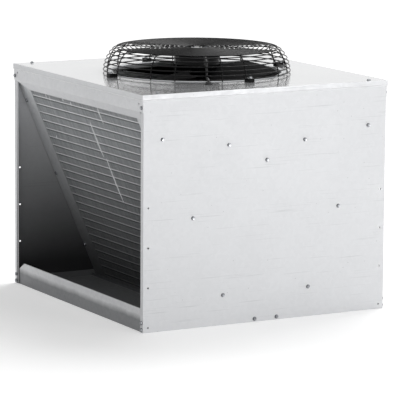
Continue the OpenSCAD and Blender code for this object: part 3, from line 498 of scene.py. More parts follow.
# Steel sheet dipped in zinc and then folded: pale and half matt, with faint crystals
ZINC = ZincSheet("galvanised_steel_outer", "galvanised_sheet", "#dcdddf", "#d5d6d8", 0.35, 0.5,
                 relief=0.1)
# The same coat on a rolled edge, painted nearly white as a painted highlight, so it shows as a
# pale line
ZINC_HEM_HIGHLIGHT = ZincSheet("galvanised_steel_hem_painted_highlight", "galvanised_sheet", "#f6f7f8", "#eeeff0", 0.1, 0.4,
                     relief=0.05)
# The same coat on the lid, smooth enough to mirror the guard and the surroundings
ZINC_LID = ZincSheet("galvanised_steel_lid", "galvanised_sheet", "#d9dadb", "#d3d4d6", 0.6, 0.14,
                     gloss_range=0.02, relief=0.02)
# The same coat inside the cabinet, with painted shade that darkens it towards the floor
ZINC_INNER = ZincSheet("galvanised_steel_inner_painted_shade", "galvanised_inner", "#d6d8da", "#c6c8ca",
                       0.3, 0.5, relief=0.1, painted_shade="#303134", painted_shade_low=20.0, painted_shade_high=560.0,
                       painted_shade_share=0.88)
# The same coat on the side panels: clean and even outside, and with painted shade on the inside
# that darkens towards the floor
ZINC_SIDE = ZincSheet("galvanised_steel_side_painted_shade", "galvanised_sheet", "#dadbdd", "#d5d6d8",
                      0.3, 0.55, gloss_range=0.02, relief=0.05, painted_shade="#17181a", painted_shade_low=60.0,
                      painted_shade_high=590.0, painted_shade_share=0.95, painted_shade_inside=True)
# The same coat on the base pan: pale along the top of its flange, and darker below with painted
# shade
ZINC_BASE = ZincSheet("galvanised_steel_base_painted_shade", "galvanised_sheet", "#dadbdc", "#cfd0d2",
                      0.35, 0.5, relief=0.1, painted_shade="#55575a", painted_shade_low=36.0, painted_shade_high=52.0,
                      painted_shade_share=0.75)
# Aluminium fin edges flattened at a tube row, painted lighter than the fins as a painted
# highlight, with painted shade that dims them towards the floor
COLLAR_HIGHLIGHT = ZincSheet("aluminium_fin_collars_painted_highlight", "fin_aluminium", "#eceeef", "#dcdee0",
                         0.1, 0.5, relief=0.05, painted_shade="#3a3b3d", painted_shade_low=20.0,
                         painted_shade_high=500.0, painted_shade_share=0.85)
# Rolled and stamped aluminium fins, stacked: grey and matt, with fine upright streaks, a painted
# highlight and a band of painted shade at each tube row, and painted shade towards the floor
FIN_METAL = FinStock("aluminium_fin_stock_painted_light", "fin_aluminium", "#d2d4d6", "#b6b9bc", 0.1, 0.6)
# The flat of a bent fin, painted nearly white as a painted highlight
BENT_FIN_HIGHLIGHT = Finish("aluminium_fin_bent_painted_highlight", "fin_aluminium", "#fafbfc", "#ecedee", 0.0, 0.5)
# Black enamel baked on steel wire: deep black with small, clear highlights
ENAMEL = Finish("black_enamel_on_steel", "black_enamel", "#050506", "#030304", 0.0, 0.22,
                specular=0.16)
# The same enamel dulled by dust on the blades: flat black with hardly a highlight
BLADE_ENAMEL = Finish("black_enamel_on_blades", "black_enamel", "#050506", "#030303", 0.0, 0.7,
                      specular=0.02)
# Drawn copper tube, a little tarnished: warm brown with soft reflections
COPPER = Finish("drawn_copper_tube", "copper_tube", "#b87a58", "#8f5a3f", 1.0, 0.34)
# Moulded rubber: nearly black and matt
RUBBER = Finish("moulded_black_rubber", "black_rubber", "#202021", "#161617", 0.0, 0.72)
# Moulded nylon: very dark grey with a low sheen
GLAND = Finish("moulded_nylon", "gland_plastic", "#1f2022", "#161719", 0.0, 0.5)
# Extruded vinyl: black with a low, even sheen
SHEATH = Finish("extruded_vinyl_sheath", "lead_sheath", "#19191a", "#111112", 0.0, 0.5)
# Moulded plastic of a terminal block: cream with a low sheen
TERMINAL = Finish("moulded_terminal_plastic", "terminal_plastic", "#e0d8c4", "#cfc6b0", 0.0, 0.5)
# Moulded plastic of a capacitor's case: dark grey and fairly glossy
CAN = Finish("moulded_capacitor_case", "capacitor_can", "#46484c", "#3a3c40", 0.0, 0.3)
# Die-cast aluminium: pale, with a slight grain and soft reflections
ALUMINIUM = Finish("die_cast_aluminium", "motor_aluminium", "#e6e7e8", "#d2d3d5", 0.6, 0.35,
                   grain=2.5)
# Bright zinc plate on steel screws: mid-grey metal with sharp little reflections
ZINC_PLATE = Finish("bright_zinc_plate", "zinc_plated_steel", "#9c9ea1", "#7c7e81", 1.0, 0.24,
                    grain=2.0)
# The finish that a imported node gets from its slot
FINISHES = {finish.slot: finish
            for finish in (ZINC, ZINC_INNER, ENAMEL, FIN_METAL, COPPER, RUBBER, GLAND, SHEATH,
                           TERMINAL, CAN, ALUMINIUM, ZINC_PLATE)}


def grown(mesh: Mesh, name: str, finish: Finish, replaced: tuple[str, ...] = (),
          body: Body = Body.CABINET, smooth_angle: float | None = 35.0) -> Piece:
    """Turn a finished mesh into a dressed piece of the object.

    Args:
        mesh: The geometry in metres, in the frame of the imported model. It is freed here.
        name: The piece's name.
        finish: What it is made of.
        replaced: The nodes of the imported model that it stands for.
        body: The body that it rides on.
        smooth_angle: Edges flatter than this are shaded smooth. Without it the faces stay as
            they are.

    Returns:
        The new object.
    """
    bmesh.ops.recalc_face_normals(mesh, faces=mesh.faces[:])
    data = bpy.data.meshes.new(name)
    mesh.to_mesh(data)
    mesh.free()
    piece = bpy.data.objects.new(name, data)
    bpy.context.scene.collection.objects.link(piece)
    if smooth_angle is not None:
        data.shade_smooth()
        data.set_sharp_from_angle(angle=math.radians(smooth_angle))
    data.materials.append(finish.material())
    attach(piece, body.value)
    if replaced:
        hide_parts(*replaced)
    LOG.info("%s: %d faces in %s", name, len(data.polygons), finish.name)
    return piece


def on_circle(radius: float, angle: float, z: float) -> Vector:
    """Return the point at a radius and an angle in radians about the Z axis."""
    return Vector((radius * math.cos(angle), radius * math.sin(angle), z))


def middle_of(points: list[Vector]) -> Vector:
    """Return the mean of some points."""
    return sum(points, Vector()) / len(points)


def lathe(mesh: Mesh, profile: list[tuple[float, float]], place: Matrix, sides: int) -> None:
    """Turn a profile about the local Z axis, from one of its points on the axis to another.

    Args:
        mesh: The mesh that gets the surface.
        profile: Radius and height of each corner. The first and last radius are zero.
        place: Where the axis stands, in metres.
        sides: How many sides the turn has.
    """
    rings = []
    for radius, height in profile:
        turns = range(sides) if radius else (0,)
        rings.append([mesh.verts.new(place @ on_circle(radius * MM, math.tau * k / sides,
                                                       height * MM)) for k in turns])
    for low, high in zip(rings, rings[1:]):
        for k in range(sides):
            n = (k + 1) % sides
            below = low if len(low) == 1 else [low[k], low[n]]
            above = high if len(high) == 1 else [high[n], high[k]]
            mesh.faces.new(below + above)


def skin(mesh: Mesh, rings: list[list[bmesh.types.BMVert]], closed: bool = False) -> None:
    """Join rings of points into a tube, and cap its ends.

    Args:
        mesh: The mesh that has the points.
        rings: The rings, each with the same number of points.
        closed: Whether the last ring joins the first, so that there are no ends.
    """
    sides = len(rings[0])
    for i in range(len(rings) if closed else len(rings) - 1):
        low, high = rings[i], rings[(i + 1) % len(rings)]
        for k in range(sides):
            n = (k + 1) % sides
            mesh.faces.new((low[k], low[n], high[n], high[k]))
    if not closed:
        mesh.faces.new(rings[0][::-1])
        mesh.faces.new(rings[-1])


def wire(mesh: Mesh, points: list[Vector], radius: float, closed: bool = False) -> None:
    """Sweep a round wire along points.

    Args:
        mesh: The mesh that gets the wire.
        points: The middle line, in metres.
        radius: The wire's radius.
        closed: Whether the last point joins the first.
    """
    count = len(points)
    angles = [math.tau * k / WIRE_SIDES for k in range(WIRE_SIDES)]
    rings = []
    side = None
    for i, point in enumerate(points):
        before = points[i - 1] if closed or i else point
        after = points[(i + 1) % count] if closed or i < count - 1 else point
        way = (after - before).normalized()
        if side is None:
            side = way.orthogonal().normalized()
        side = (side - way * side.dot(way)).normalized()
        other = way.cross(side)
        rings.append([mesh.verts.new(point + radius * MM * (math.cos(a) * side
                                                            + math.sin(a) * other))
                      for a in angles])
    skin(mesh, rings, closed)


def copied(node: str) -> Mesh:
    """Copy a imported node's mesh, with its faces joined at their edges.

    Args:
        node: The node's name.

    Returns:
        The copy, in metres.
    """
    mesh = bmesh.new()
    mesh.from_mesh(frame["nodes"][node].data)
    mesh.transform(frame["nodes"][node].matrix_world)
    bmesh.ops.remove_doubles(mesh, verts=mesh.verts[:], dist=WELD * MM)
    return mesh


def islands(node: str) -> list[list[Vector]]:
    """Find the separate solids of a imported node.

    Args:
        node: The node's name.

    Returns:
        The points of each solid, in metres.
    """
    mesh = copied(node)
    seen: set[bmesh.types.BMVert] = set()
    solids = []
    for start in mesh.verts:
        if start in seen:
            continue
        seen.add(start)
        queue, points = [start], []
        while queue:
            vert = queue.pop()
            points.append(vert.co.copy())
            for edge in vert.link_edges:
                other = edge.other_vert(vert)
                if other not in seen:
                    seen.add(other)
                    queue.append(other)
        solids.append(points)
    mesh.free()
    return solids


def bounds_of(node: str) -> tuple[Vector, Vector]:
    """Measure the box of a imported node.

    Args:
        node: The node's name.

    Returns:
        Its lowest and its highest corner, in metres.
    """
    packed = frame["nodes"][node]
    corners = [packed.matrix_world @ Vector(corner) for corner in packed.bound_box]
    return (Vector([min(c[i] for c in corners) for i in range(3)]),
            Vector([max(c[i] for c in corners) for i in range(3)]))


def softened(node: str, finish: Finish, radius: float, segments: int = 2,
             body: Body = Body.CABINET) -> Piece:
    """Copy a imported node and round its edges, as a press brake or a mould leaves them.

    Args:
        node: The node that the copy replaces.
        finish: What it is made of.
        radius: The radius of its edges.
        segments: How many faces round an edge.
        body: The body that it rides on.

    Returns:
        The new object.
    """
    mesh = copied(node)
    curve, edge_angle = math.radians(CURVE_ANGLE), math.radians(EDGE_ANGLE)
    bmesh.ops.dissolve_limit(mesh, angle_limit=math.radians(FLAT_ANGLE), verts=mesh.verts[:],
                             edges=mesh.edges[:])
    for face in mesh.faces:
        face.smooth = any(curve < e.calc_face_angle(0) < edge_angle for e in face.edges)
    sharp = [e for e in mesh.edges if e.is_manifold and e.calc_face_angle(0) > edge_angle]
    rounded = bmesh.ops.bevel(mesh, geom=sharp, offset=radius * MM, segments=segments,
                              affect="EDGES", profile=0.5, clamp_overlap=True)
    for face in rounded["faces"]:
        face.smooth = True
    return grown(mesh, f"{node}_rounded", finish, (node,), body, smooth_angle=None)


@dataclass
class Cabinet:
    """The folded sheets: base pan, side panels, lid, rails and what stiffens them."""

    edge: float = 0.5
    edge_segments: int = 3
    lid_edge: float = 1.0
    lid_segments: int = 4
    # A face of the lid whose normal rises less than this is part of its flange
    flange_rise: float = 0.5
    hem: float = 1.1
    hem_inset: float = 0.3
    rails: tuple[str, ...] = ("top_rail_front", "top_rail_back")
    sides: tuple[str, ...] = ("side_panel_left", "side_panel_right")
    inner: tuple[str, ...] = ("base_channel", "coil_rest_front", "coil_rest_back", "fan_orifice",
                              "end_baffle_front_left", "end_baffle_front_right",
                              "end_baffle_back_left", "end_baffle_back_right",
                              "side_angles_front", "side_angles_back")

    def lid(self) -> None:
        """Make the lid, with a glossy top and a duller flange."""
        lid = softened("top_panel", ZINC_LID, self.lid_edge, self.lid_segments)
        lid.data.materials.append(ZINC.material())
        for face in lid.data.polygons:
            face.material_index = int(face.normal.z < self.flange_rise)

    def drip_hem(self) -> None:
        """Roll a thin hem along the lower edge of the lid's flange."""
        low, high = bounds_of("top_panel")
        mesh = bmesh.new()
        inset = self.hem_inset * MM
        xs = (low.x + inset, high.x - inset)
        ys = (low.y + inset, high.y - inset)
        z = low.z + self.hem * MM
        corners = [Vector((xs[i], ys[j], z)) for i, j in ((0, 0), (1, 0), (1, 1), (0, 1))]
        for a, b in zip(corners, corners[1:] + corners[:1]):
            wire(mesh, [a, b], self.hem)
        grown(mesh, "lid_drip_hem", ZINC_HEM_HIGHLIGHT)

    def build(self) -> None:
        """Make every folded sheet of the cabinet."""
        self.lid()
        self.drip_hem()
        for nodes, finish in ((("base_pan",), ZINC_BASE), (self.rails, ZINC),
                              (self.sides, ZINC_SIDE), (self.inner, ZINC_INNER)):
            for node in nodes:
                softened(node, finish, self.edge, self.edge_segments)


@dataclass
class Wiring:
    """The electrical parts behind the right panel, and the lead that comes from the motor."""

    # Each part: its node, its finish, the radius of its edges, and how many faces round an edge
    parts: tuple[tuple[str, Finish, float, int], ...] = (
        ("lead_gland", GLAND, 0.6, 3), ("panel_grommets", RUBBER, 0.8, 3),
        ("wiring_bracket", ZINC_INNER, 0.3, 2), ("junction_box", ZINC, 0.5, 3),
        ("junction_cover", ZINC, 0.6, 3), ("terminal_block", TERMINAL, 0.6, 2),
        ("run_capacitor", CAN, 0.8, 3), ("capacitor_strap", ZINC_INNER, 0.3, 2))

    def build(self) -> None:
        """Make the lead, the boxes, the block, the capacitor and the small parts."""
        grown(copied("motor_lead"), "motor_lead_round", SHEATH, ("motor_lead",),
              smooth_angle=WIRE_SMOOTH)
        for node, finish, radius, segments in self.parts:
            softened(node, finish, radius, segments)


@dataclass(frozen=True)
class BentFin:
    """A fin bent by handling: its place along the width, its bend up the slope, its width."""

    x: float
    low: float
    high: float
    width: float


BENT_FINS = (BentFin(4.0, 420.0, 529.0, 4.5), BentFin(16.0, 285.0, 418.0, 4.0),
             BentFin(89.0, 531.0, 582.0, 4.5), BentFin(-222.6, 568.0, 580.0, 4.0),
             BentFin(-203.2, 562.0, 574.0, 3.5), BentFin(-116.9, 570.0, 582.0, 4.0),
             BentFin(-73.7, 563.0, 576.0, 4.0), BentFin(-263.6, 436.0, 448.0, 3.0))


@dataclass
class Coil:
    """One slanted coil, with its thin fins and the fins that got bent."""

    side: Side
    slope: Slope = SLOPE
    depth: float = 44.0
    half_length: float = 314.0
    fin_gap: float = 2.1
    # A real fin is about 0.12 mm thick and would hardly show, so it is drawn thicker
    fin_t: float = 0.5
    # How far a fin stands from its even place, at most
    sway: float = 0.25
    ripple: float = 0.5
    line_w: float = 2.6
    line_out: float = 0.25
    line_in: float = 0.3
    seed: int = 7
    bent: tuple[BentFin, ...] = ()
    bend_step: float = 4.0
    bend_steps_least: int = 4
    bend_least_share: float = 0.7
    bend_fullness: float = 0.4
    bend_reach: float = 0.3
    # How far a flap goes to the side and out of the coil, as shares of its reach
    bend_side_share: float = 0.45
    bend_out_share: float = 0.75
    # Corners of a flap where it leaves the fin, and from its outer edge to the corner beside it
    bend_root: tuple[tuple[float, float], ...] = ((0.0, 0.6), (-0.3, 0.9))
    bend_edge: tuple[float, float] = (-0.2, 0.1)

    def place(self, x: float, y: float, z: float) -> Vector:
        """Turn a point of the coil's own slanted frame into the frame of the model.

        Args:
            x: How far along the width it is.
            y: How far into the coil it is.
            z: How far up the slope it is.

        Returns:
            The point, in metres.
        """
        lean = self.slope.lean
        depth = -self.slope.foot_y + y * math.cos(lean) - z * math.sin(lean)
        height = self.slope.foot_z + y * math.sin(lean) + z * math.cos(lean)
        return Vector((x * MM, -self.side.sign * depth * MM, height * MM))

    def fin(self, mesh: Mesh, x: float, steps: int, height: float) -> None:
        """Add one fin, whose edges ripple once for each tube row.

        Args:
            mesh: The mesh that gets the fin.
            x: Where it stands along the width.
            steps: How many parts its height has.
            height: Its height up the slope.
        """
        waves = [x + self.ripple / 2 * (1 if j % 2 else -1) for j in range(steps + 1)]
        sheets = []
        for side in (-1, 1):
            sheets.append([[mesh.verts.new(self.place(wave + side * self.fin_t / 2, y,
                                                      height * j / steps))
                            for j, wave in enumerate(waves)] for y in (0.0, self.depth)])
        (front_a, back_a), (front_b, back_b) = sheets
        for j in range(steps):
            mesh.faces.new((front_a[j], front_a[j + 1], back_a[j + 1], back_a[j]))
            mesh.faces.new((front_b[j], back_b[j], back_b[j + 1], front_b[j + 1]))
            mesh.faces.new((front_a[j], front_b[j], front_b[j + 1], front_a[j + 1]))
            mesh.faces.new((back_a[j], back_a[j + 1], back_b[j + 1], back_b[j]))
        mesh.faces.new((front_a[0], back_a[0], back_b[0], front_b[0]))
        mesh.faces.new((front_a[-1], front_b[-1], back_b[-1], back_a[-1]))

    def collar_line(self, mesh: Mesh, z: float) -> None:
        """Add the low ridge that the flattened fin edges make in front of one tube row.

        Args:
            mesh: The mesh that gets the ridge.
            z: How far up the slope the tube row is.
        """
        outline = ((self.line_in, -0.5), (-self.line_out, -0.5), (-self.line_out, 0.5),
                   (self.line_in, 0.5))
        end = self.half_length - self.fin_t
        skin(mesh, [[mesh.verts.new(self.place(x, y, z + self.line_w * share))
                     for y, share in outline] for x in (-end, end)])

    def flap(self, mesh: Mesh, fin: BentFin) -> None:
        """Add the folded-over edge of a bent fin, widest in the middle of its length.

        Args:
            mesh: The mesh that gets the flap.
            fin: The bent fin.
        """
        length = fin.high - fin.low
        steps = max(self.bend_steps_least, int(length / self.bend_step))
        rings = []
        for i in range(steps + 1):
            share = (math.sin(math.pi * i / steps) ** self.bend_fullness
                     * random.uniform(self.bend_least_share, 1.0))
            z = fin.low + length * i / steps
            reach = self.bend_reach + fin.width * share
            tip_x, tip_y = -self.bend_side_share * reach, -self.bend_out_share * reach
            outline = (self.bend_root[0], (tip_x, tip_y),
                       (tip_x + self.bend_edge[0], tip_y + self.bend_edge[1]), self.bend_root[1])
            rings.append([mesh.verts.new(self.place(fin.x + x, y, z)) for x, y in outline])
        skin(mesh, rings)

    def build(self) -> None:
        """Make the fin pack of this coil, the lines in front of its tubes, and its bent fins."""
        name = self.side.label
        mesh = bmesh.new()
        random.seed(self.seed)
        count = int(2 * self.half_length / self.fin_gap)
        # Two steps for each tube row give the ripple its zigzag
        steps = self.slope.rows * 2
        height = self.slope.rows * self.slope.pitch
        for i in range(count + 1):
            x = -self.half_length + self.fin_t + i * 2 * (self.half_length - self.fin_t) / count
            self.fin(mesh, x + random.uniform(-self.sway, self.sway), steps, height)
        grown(mesh, f"fin_pack_{name}", FIN_METAL, (f"fins_{name}",))
        mesh = bmesh.new()
        for row in range(self.slope.rows):
            self.collar_line(mesh, (row + self.slope.row_share) * self.slope.pitch)
        grown(mesh, f"fin_collar_lines_{name}", COLLAR_HIGHLIGHT)
        if self.bent:
            mesh = bmesh.new()
            for fin in self.bent:
                self.flap(mesh, fin)
            grown(mesh, f"bent_fins_{name}", BENT_FIN_HIGHLIGHT)


@dataclass
class Guard:
    """The wire guard over the fan."""

    low_r: float = 251.0
    flat_r: float = 217.0
    height: float = 66.5
    bend: float = 0.7
    wire_d: float = 3.2
    weld_gap: float = 0.05
    inner_r: float = 34.0
    pairs: int = 8
    turn: float = 3.0
    pair_angle: float = 16.0
    spoke_steps: int = 12
    # Half of the height over which the side's slope is measured
    slope_step: float = 0.05
    ring_steps_least: int = 48
    ring_steps_per_mm: float = 0.8
    foot_edge: float = 0.8

    def radius_at(self, h: float) -> float:
        """Return the radius of the guard's side at a height above the lid."""
        return self.flat_r + (self.low_r - self.flat_r) * (1 - (h / self.height) ** 2) ** self.bend

    def rings(self, name: str, node: str) -> None:
        """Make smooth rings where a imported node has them.

        Args:
            name: The name of the new piece.
            node: The node that it replaces.
        """
        mesh = bmesh.new()
        for points in islands(node):
            radius = max(p.x for p in points) - self.wire_d / 2 * MM
            z = (max(p.z for p in points) + min(p.z for p in points)) / 2
            steps = max(self.ring_steps_least, int(radius / MM * self.ring_steps_per_mm))
            circle = [on_circle(radius, math.tau * k / steps, z) for k in range(steps)]
            wire(mesh, circle, self.wire_d / 2, closed=True)
        grown(mesh, name, ENAMEL, (node,), smooth_angle=WIRE_SMOOTH)

    def spokes(self) -> None:
        """Make the spokes inside the rings, from the lid to the motor plate."""
        mesh = bmesh.new()
        inside = self.wire_d + self.weld_gap
        near = self.slope_step
        side = []
        for k in range(1, self.spoke_steps):
            h = self.height * math.sin(math.pi / 2 * k / self.spoke_steps)
            a = math.atan((self.radius_at(h - near) - self.radius_at(h + near)) / (2 * near))
            side.append((self.radius_at(h) - inside * math.cos(a), h - inside * math.sin(a)))
        path = [(self.low_r - inside, self.wire_d / 2), *side,
                (self.flat_r, self.height - inside),
                (self.inner_r - self.wire_d, self.height - inside)]
        for k in range(self.pairs):
            for apart in (0.0, self.pair_angle):
                a = math.tau * k / self.pairs + math.radians(self.turn - apart)
                wire(mesh, [on_circle(r, a, LID_Z + h) * MM for r, h in path], self.wire_d / 2)
        grown(mesh, "guard_spoke_wires", ENAMEL, ("guard_spokes",), smooth_angle=WIRE_SMOOTH)

    def build(self) -> None:
        """Make the rings, the spokes and the feet."""
        self.rings("guard_top_wires", "guard_top_rings")
        self.rings("guard_side_wires", "guard_side_rings")
        self.spokes()
        softened("guard_feet", ENAMEL, self.foot_edge)


@dataclass
class Fan:
    """The rotor with its ring of pressed blades, and the motor's parts that stand still."""

    root_r: float = 64.3
    tip_r: float = 222.0
    # How high a blade reaches from one edge to the other, at its root and at its tip
    root_h: float = 52.0
    tip_h: float = 40.0
    # Height of a blade's middle above the lid
    middle_h: float = -4.0
    camber: float = 5.0
    # Angles about the shaft that a blade covers, and that its tip lies ahead of its root
    chord: float = 64.0
    sweep: float = 14.0
    thickness: float = 2.0
    blades: int = 5
    blade_steps: int = 20
    corner_share: float = 0.18
    blade_smooth: float = 50.0
    ring_edge: float = 0.4
    can_edge: float = 1.2
    can_segments: int = 3
    stator_edge: float = 0.8
    plate_edge: float = 0.4

    def point(self, u: float, v: float, side: int) -> Vector:
        """Find a point on the surface of the first blade.

        Args:
            u: How far from root to tip it is, from zero to one.
            v: How far from one edge to the other it is, from zero to one.
            side: One for the upper face and minus one for the lower face.

        Returns:
            The point, in metres.
        """
        trim = max(0.0, (u - 1 + self.corner_share) / self.corner_share)
        squeeze = 1 - self.corner_share * (1 - math.sqrt(max(0.0, 1 - trim * trim)))
        w = 0.5 + (v - 0.5) * squeeze
        r = self.root_r + u * (self.tip_r - self.root_r)
        a = math.radians(self.sweep * u * u + self.chord * (w - 0.5))
        h = (self.root_h + (self.tip_h - self.root_h) * u - 2 * self.camber) * (w - 0.5)
        z = self.middle_h + h + self.camber * (4 * w * (1 - w) - 0.5) + side * self.thickness / 2
        return on_circle(r, a, LID_Z + z) * MM

    def blade(self, mesh: Mesh, turn: float) -> None:
        """Add one blade, turned about the shaft.

        Args:
            mesh: The mesh that gets the blade.
            turn: Its angle about the shaft, in radians.
        """
        steps = self.blade_steps
        spin = Matrix.Rotation(turn, 4, "Z")
        low, high = ([[mesh.verts.new(spin @ self.point(i / steps, j / steps, side))
                       for j in range(steps + 1)] for i in range(steps + 1)] for side in (-1, 1))
        for i in range(steps):
            for j in range(steps):
                mesh.faces.new((low[i][j], low[i + 1][j], low[i + 1][j + 1], low[i][j + 1]))
                mesh.faces.new((high[i][j], high[i][j + 1], high[i + 1][j + 1], high[i + 1][j]))
        for i in range(steps):
            for j in (0, steps):
                mesh.faces.new((low[i][j], high[i][j], high[i + 1][j], low[i + 1][j]))
                mesh.faces.new((low[j][i], low[j][i + 1], high[j][i + 1], high[j][i]))

    def build(self) -> None:
        """Make the blades, the ring, the rotor can, the stator and the motor plate."""
        mesh = bmesh.new()
        for k in range(self.blades):
            self.blade(mesh, math.tau * k / self.blades)
        grown(mesh, "pressed_blades", BLADE_ENAMEL, ("fan_blades",), Body.FAN, self.blade_smooth)
        softened("blade_ring", BLADE_ENAMEL, self.ring_edge, body=Body.FAN)
        softened("rotor_can", ENAMEL, self.can_edge, self.can_segments, Body.FAN)
        softened("motor_stator", ALUMINIUM, self.stator_edge)
        softened("motor_plate", ZINC_INNER, self.plate_edge)


@dataclass
class HexScrew:
    """A hexagon washer-head screw for sheet metal."""

    washer_r: float = 5.5
    washer_t: float = 1.0
    # Corners of the washer's rim: how far in from its edge, and how high
    washer_rim: tuple[tuple[float, float], ...] = ((0.2, 0.0), (0.0, 0.25), (0.0, 0.6))
    washer_bevel: float = 0.5
    flats: float = 8.0
    height: float = 4.0
    # Corners of the head: how far in from the hexagon's corners or its flats, and how far
    # below the top
    corner_cut: tuple[tuple[float, float], ...] = ((0.0, 0.7), (0.25, 0.3))
    crown: tuple[tuple[float, float], ...] = ((0.3, 0.0), (0.9, 0.05))
    dish: float = 0.5
    sunk: float = 0.1
    shank_r: float = 2.1
    shank: float = 12.0
    tip_share: float = 0.6
    tip_bevel: float = 0.3
    thread: float = 1.6
    thread_h: float = 0.4
    sides: int = 28

    def add(self, mesh: Mesh, place: Matrix) -> None:
        """Add one screw with its seat at the place and its head along local Z.

        Args:
            mesh: The mesh that gets the screw.
            place: Its seat and direction, in metres.
        """
        turns = int(self.shank / self.thread) - 1
        flank = [(self.shank_r - self.thread_h * (1 - k % 2),
                  -self.shank + self.thread * (k / 2 + 0.5)) for k in range(2 * turns + 1)]
        lathe(mesh, [(0, -self.shank),
                     (self.tip_share * self.shank_r, -self.shank + self.tip_bevel),
                     *flank, (self.shank_r, 0.0),
                     *((self.washer_r - inset, h) for inset, h in self.washer_rim),
                     (self.washer_r - self.washer_bevel, self.washer_t), (0, self.washer_t)],
              place, self.sides)
        corner = self.flats / 2 / math.cos(math.pi / 6)
        foot = self.washer_t - self.sunk
        lathe(mesh, [(0, foot), (corner, foot),
                     *((corner - inset, self.height - drop) for inset, drop in self.corner_cut),
                     *((self.flats / 2 - inset, self.height - drop) for inset, drop in self.crown),
                     (0, self.height - self.dish)], place, 6)


def seated(points: list[Vector], axis: Vector, head: float) -> Matrix:
    """Find a screw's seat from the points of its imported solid.

    Args:
        points: The solid's points, in metres.
        axis: The direction that its head faces.
        head: The height of its head.

    Returns:
        A matrix that puts local zero on the seat and local Z along the axis.
    """
    way = axis.normalized()
    top = max(p.dot(way) for p in points)
    middle = middle_of(points)
    seat = middle - way * (middle.dot(way) - top + head * MM)
    return Matrix.Translation(seat) @ way.to_track_quat("Z", "Y").to_matrix().to_4x4()


@dataclass
class Hardware:
    """Every screw that shows, and the small ones of the motor and the wiring."""

    slope: Slope = SLOPE
    guard_shank: float = 22.0
    smooth_angle: float = 30.0
    small_edge: float = 0.6
    small_segments: int = 3

    def group(self, node: str, axis_of: Callable[[Vector], Vector], screw: HexScrew) -> None:
        """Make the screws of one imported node.

        Args:
            node: The node's name.
            axis_of: A function from a screw's middle to the direction of its head.
            screw: The kind of screw.
        """
        mesh = bmesh.new()
        random.seed(node)
        for points in islands(node):
            turned = Matrix.Rotation(random.uniform(0, math.tau), 4, "Z")
            seat = seated(points, axis_of(middle_of(points)), screw.height)
            screw.add(mesh, seat @ turned)
        grown(mesh, f"{node}_hex", ZINC_PLATE, (node,), smooth_angle=self.smooth_angle)

    def build(self) -> None:
        """Make the screws of the cabinet, the coils, the guard, the motor and the wiring."""
        down, out = math.sin(self.slope.lean), math.cos(self.slope.lean)
        self.group("side_screws_right", lambda p: Vector((1, 0, 0)), HexScrew())
        self.group("side_screws_left", lambda p: Vector((-1, 0, 0)), HexScrew())
        self.group("lid_screws", lambda p: Vector((0, 0, 1)), HexScrew())
        self.group("post_screws", lambda p: Vector((0, math.copysign(1, p.y), 0)), HexScrew())
        self.group("baffle_screws", lambda p: Vector((0, math.copysign(out, p.y), -down)),
                   HexScrew())
        self.group("guard_screws", lambda p: Vector((0, 0, 1)), HexScrew(shank=self.guard_shank))
        for node in ("motor_screws", "wiring_screws"):
            softened(node, ZINC_PLATE, self.small_edge, self.small_segments)


def aimed(way: Vector) -> Matrix:
    """Return the rotation that turns a camera or a lamp to look along a direction."""
    return way.to_track_quat("-Z", "Y").to_matrix().to_4x4()


@dataclass(frozen=True)
class Lamp:
    """A soft square lamp that faces the object, in metres and watts."""

    name: str
    place: tuple[float, float, float]
    size: float
    power: float
    target_z: float = 0.3

    def hang(self) -> None:
        """Add the lamp to the scene."""
        data = bpy.data.lights.new(self.name, "AREA")
        data.shape = "SQUARE"
        data.size = self.size
        data.energy = self.power
        lamp = bpy.data.objects.new(self.name, data)
        way = Vector((0, 0, self.target_z)) - Vector(self.place)
        lamp.matrix_world = Matrix.Translation(Vector(self.place)) @ aimed(way)
        bpy.context.scene.collection.objects.link(lamp)


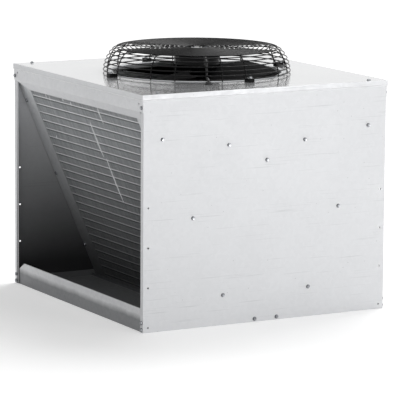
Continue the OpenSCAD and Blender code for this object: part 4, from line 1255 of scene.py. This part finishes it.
@dataclass
class Studio:
    """The camera at the photograph's angle, a pale floor and plain soft light."""

    eye: tuple[float, float, float] = (6831.5, -3740.7, 1551.4)
    heading: tuple[float, float] = (-0.8764, 0.4815)
    pitch: float = 9.399
    roll: float = 0.39
    lens: float = 262.69
    sensor: float = 36.0
    # How far the camera sees, the floor's size and where its glow grows are in metres
    sight: float = 100.0
    floor_size: float = 40.0
    floor_colour: str = "#f2f2f2"
    floor_roughness: float = 0.9
    # The floor glows less near the object than far from it, a painted shadow around its foot
    glow_near: float = 0.38
    glow_far: float = 0.8
    glow_from: float = 0.7
    glow_to: float = 2.2
    # How much of the floor's glow and of the white surroundings lights the object
    glow_bounce: float = 0.45
    sky: float = 0.34
    lamps: tuple[Lamp, ...] = (Lamp("key", (-0.9, 1.5, 2.9), 2.0, 70.0),
                               Lamp("fill", (2.7, 0.9, 0.42), 0.8, 15.0))

    def camera(self) -> None:
        """Set the camera where the photograph was taken from."""
        data = bpy.data.cameras.new("camera")
        data.lens = self.lens
        data.sensor_width = self.sensor
        data.clip_end = self.sight
        camera = bpy.data.objects.new("camera", data)
        down = math.radians(self.pitch)
        way = Vector((*(h * math.cos(down) for h in self.heading), -math.sin(down)))
        turn = aimed(way) @ Matrix.Rotation(math.radians(self.roll), 4, "Z")
        camera.matrix_world = Matrix.Translation(Vector(self.eye) * MM) @ turn
        bpy.context.scene.collection.objects.link(camera)
        bpy.context.scene.camera = camera

    def pale_floor(self) -> bpy.types.Material:
        """Make the floor's matt white, which glows to the eye and in reflections, and glows less
        near the object as a painted shadow.

        Returns:
            The material.
        """
        material = bpy.data.materials.new("pale_floor")
        tree = cleared(material)
        rays = add_node(tree, "LightPath").outputs
        seen = add_node(tree, "Math", {0: rays["Is Camera Ray"], 1: rays["Is Glossy Ray"]},
                        operation="MAXIMUM")
        place = add_node(tree, "TexCoord").outputs["Object"]
        # Painted shadow: less glow near the object
        away = add_node(tree, "VectorMath", {0: place}, operation="LENGTH")
        shadowed_glow = add_node(tree, "MapRange",
                          {"Value": away.outputs["Value"], "From Min": self.glow_from,
                           "From Max": self.glow_to, "To Min": self.glow_near,
                           "To Max": self.glow_far})
        lit = add_node(tree, "MapRange", {"Value": seen.outputs[0], "To Min": self.glow_bounce})
        glow = add_node(tree, "Math", {0: lit.outputs[0], 1: shadowed_glow.outputs[0]},
                        operation="MULTIPLY")
        shader = add_node(tree, "BsdfPrincipled",
                          {"Base Color": linear(self.floor_colour),
                           "Roughness": self.floor_roughness, "Emission Color": WHITE,
                           "Emission Strength": glow.outputs[0]})
        add_node(tree, "OutputMaterial", {"Surface": shader.outputs["BSDF"]})
        return material

    def floor(self) -> None:
        """Lay the floor, which keeps the object's shadow."""
        mesh = bmesh.new()
        bmesh.ops.create_grid(mesh, x_segments=1, y_segments=1, size=self.floor_size / 2)
        data = bpy.data.meshes.new("floor")
        mesh.to_mesh(data)
        mesh.free()
        floor = bpy.data.objects.new("floor", data)
        bpy.context.scene.collection.objects.link(floor)
        data.materials.append(self.pale_floor())

    def world(self) -> None:
        """Make the surroundings white to the eye and to reflections, and softer as a light."""
        world = bpy.data.worlds.new("studio")
        bpy.context.scene.world = world
        tree = cleared(world)
        rays = add_node(tree, "LightPath").outputs
        seen = add_node(tree, "Math", {0: rays["Is Camera Ray"], 1: rays["Is Glossy Ray"]},
                        operation="MAXIMUM")
        clear = add_node(tree, "Math", {0: seen.outputs[0], 1: rays["Is Transmission Ray"]},
                         operation="MAXIMUM")
        strength = add_node(tree, "MapRange", {"Value": clear.outputs[0], "To Min": self.sky})
        back = add_node(tree, "Background", {"Color": WHITE, "Strength": strength.outputs[0]})
        add_node(tree, "OutputWorld", {"Surface": back.outputs[0]})

    def build(self) -> None:
        """Set up the camera, the floor and the light."""
        self.camera()
        self.floor()
        self.world()
        for lamp in self.lamps:
            lamp.hang()
        bpy.context.scene.view_settings.view_transform = "Standard"


def dress_nodes() -> None:
    """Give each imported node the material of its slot."""
    slots = {row["node"]: row["material_slot"] for row in frame["record"]["subparts"]}
    for name, node in frame["nodes"].items():
        material = FINISHES[slots[name]].material()
        if not node.material_slots:
            node.data.materials.append(material)
        for material_slot in node.material_slots:
            material_slot.material = material


def main() -> None:
    """Build the studio and the condenser, piece by piece."""
    logging.basicConfig(level=logging.INFO, format="%(message)s")
    Studio().build()
    dress_nodes()
    Cabinet().build()
    Coil(Side.FRONT, bent=BENT_FINS).build()
    Coil(Side.BACK, seed=11).build()
    Guard().build()
    Fan().build()
    Wiring().build()
    Hardware().build()


if __name__ == "__main__":
    main()
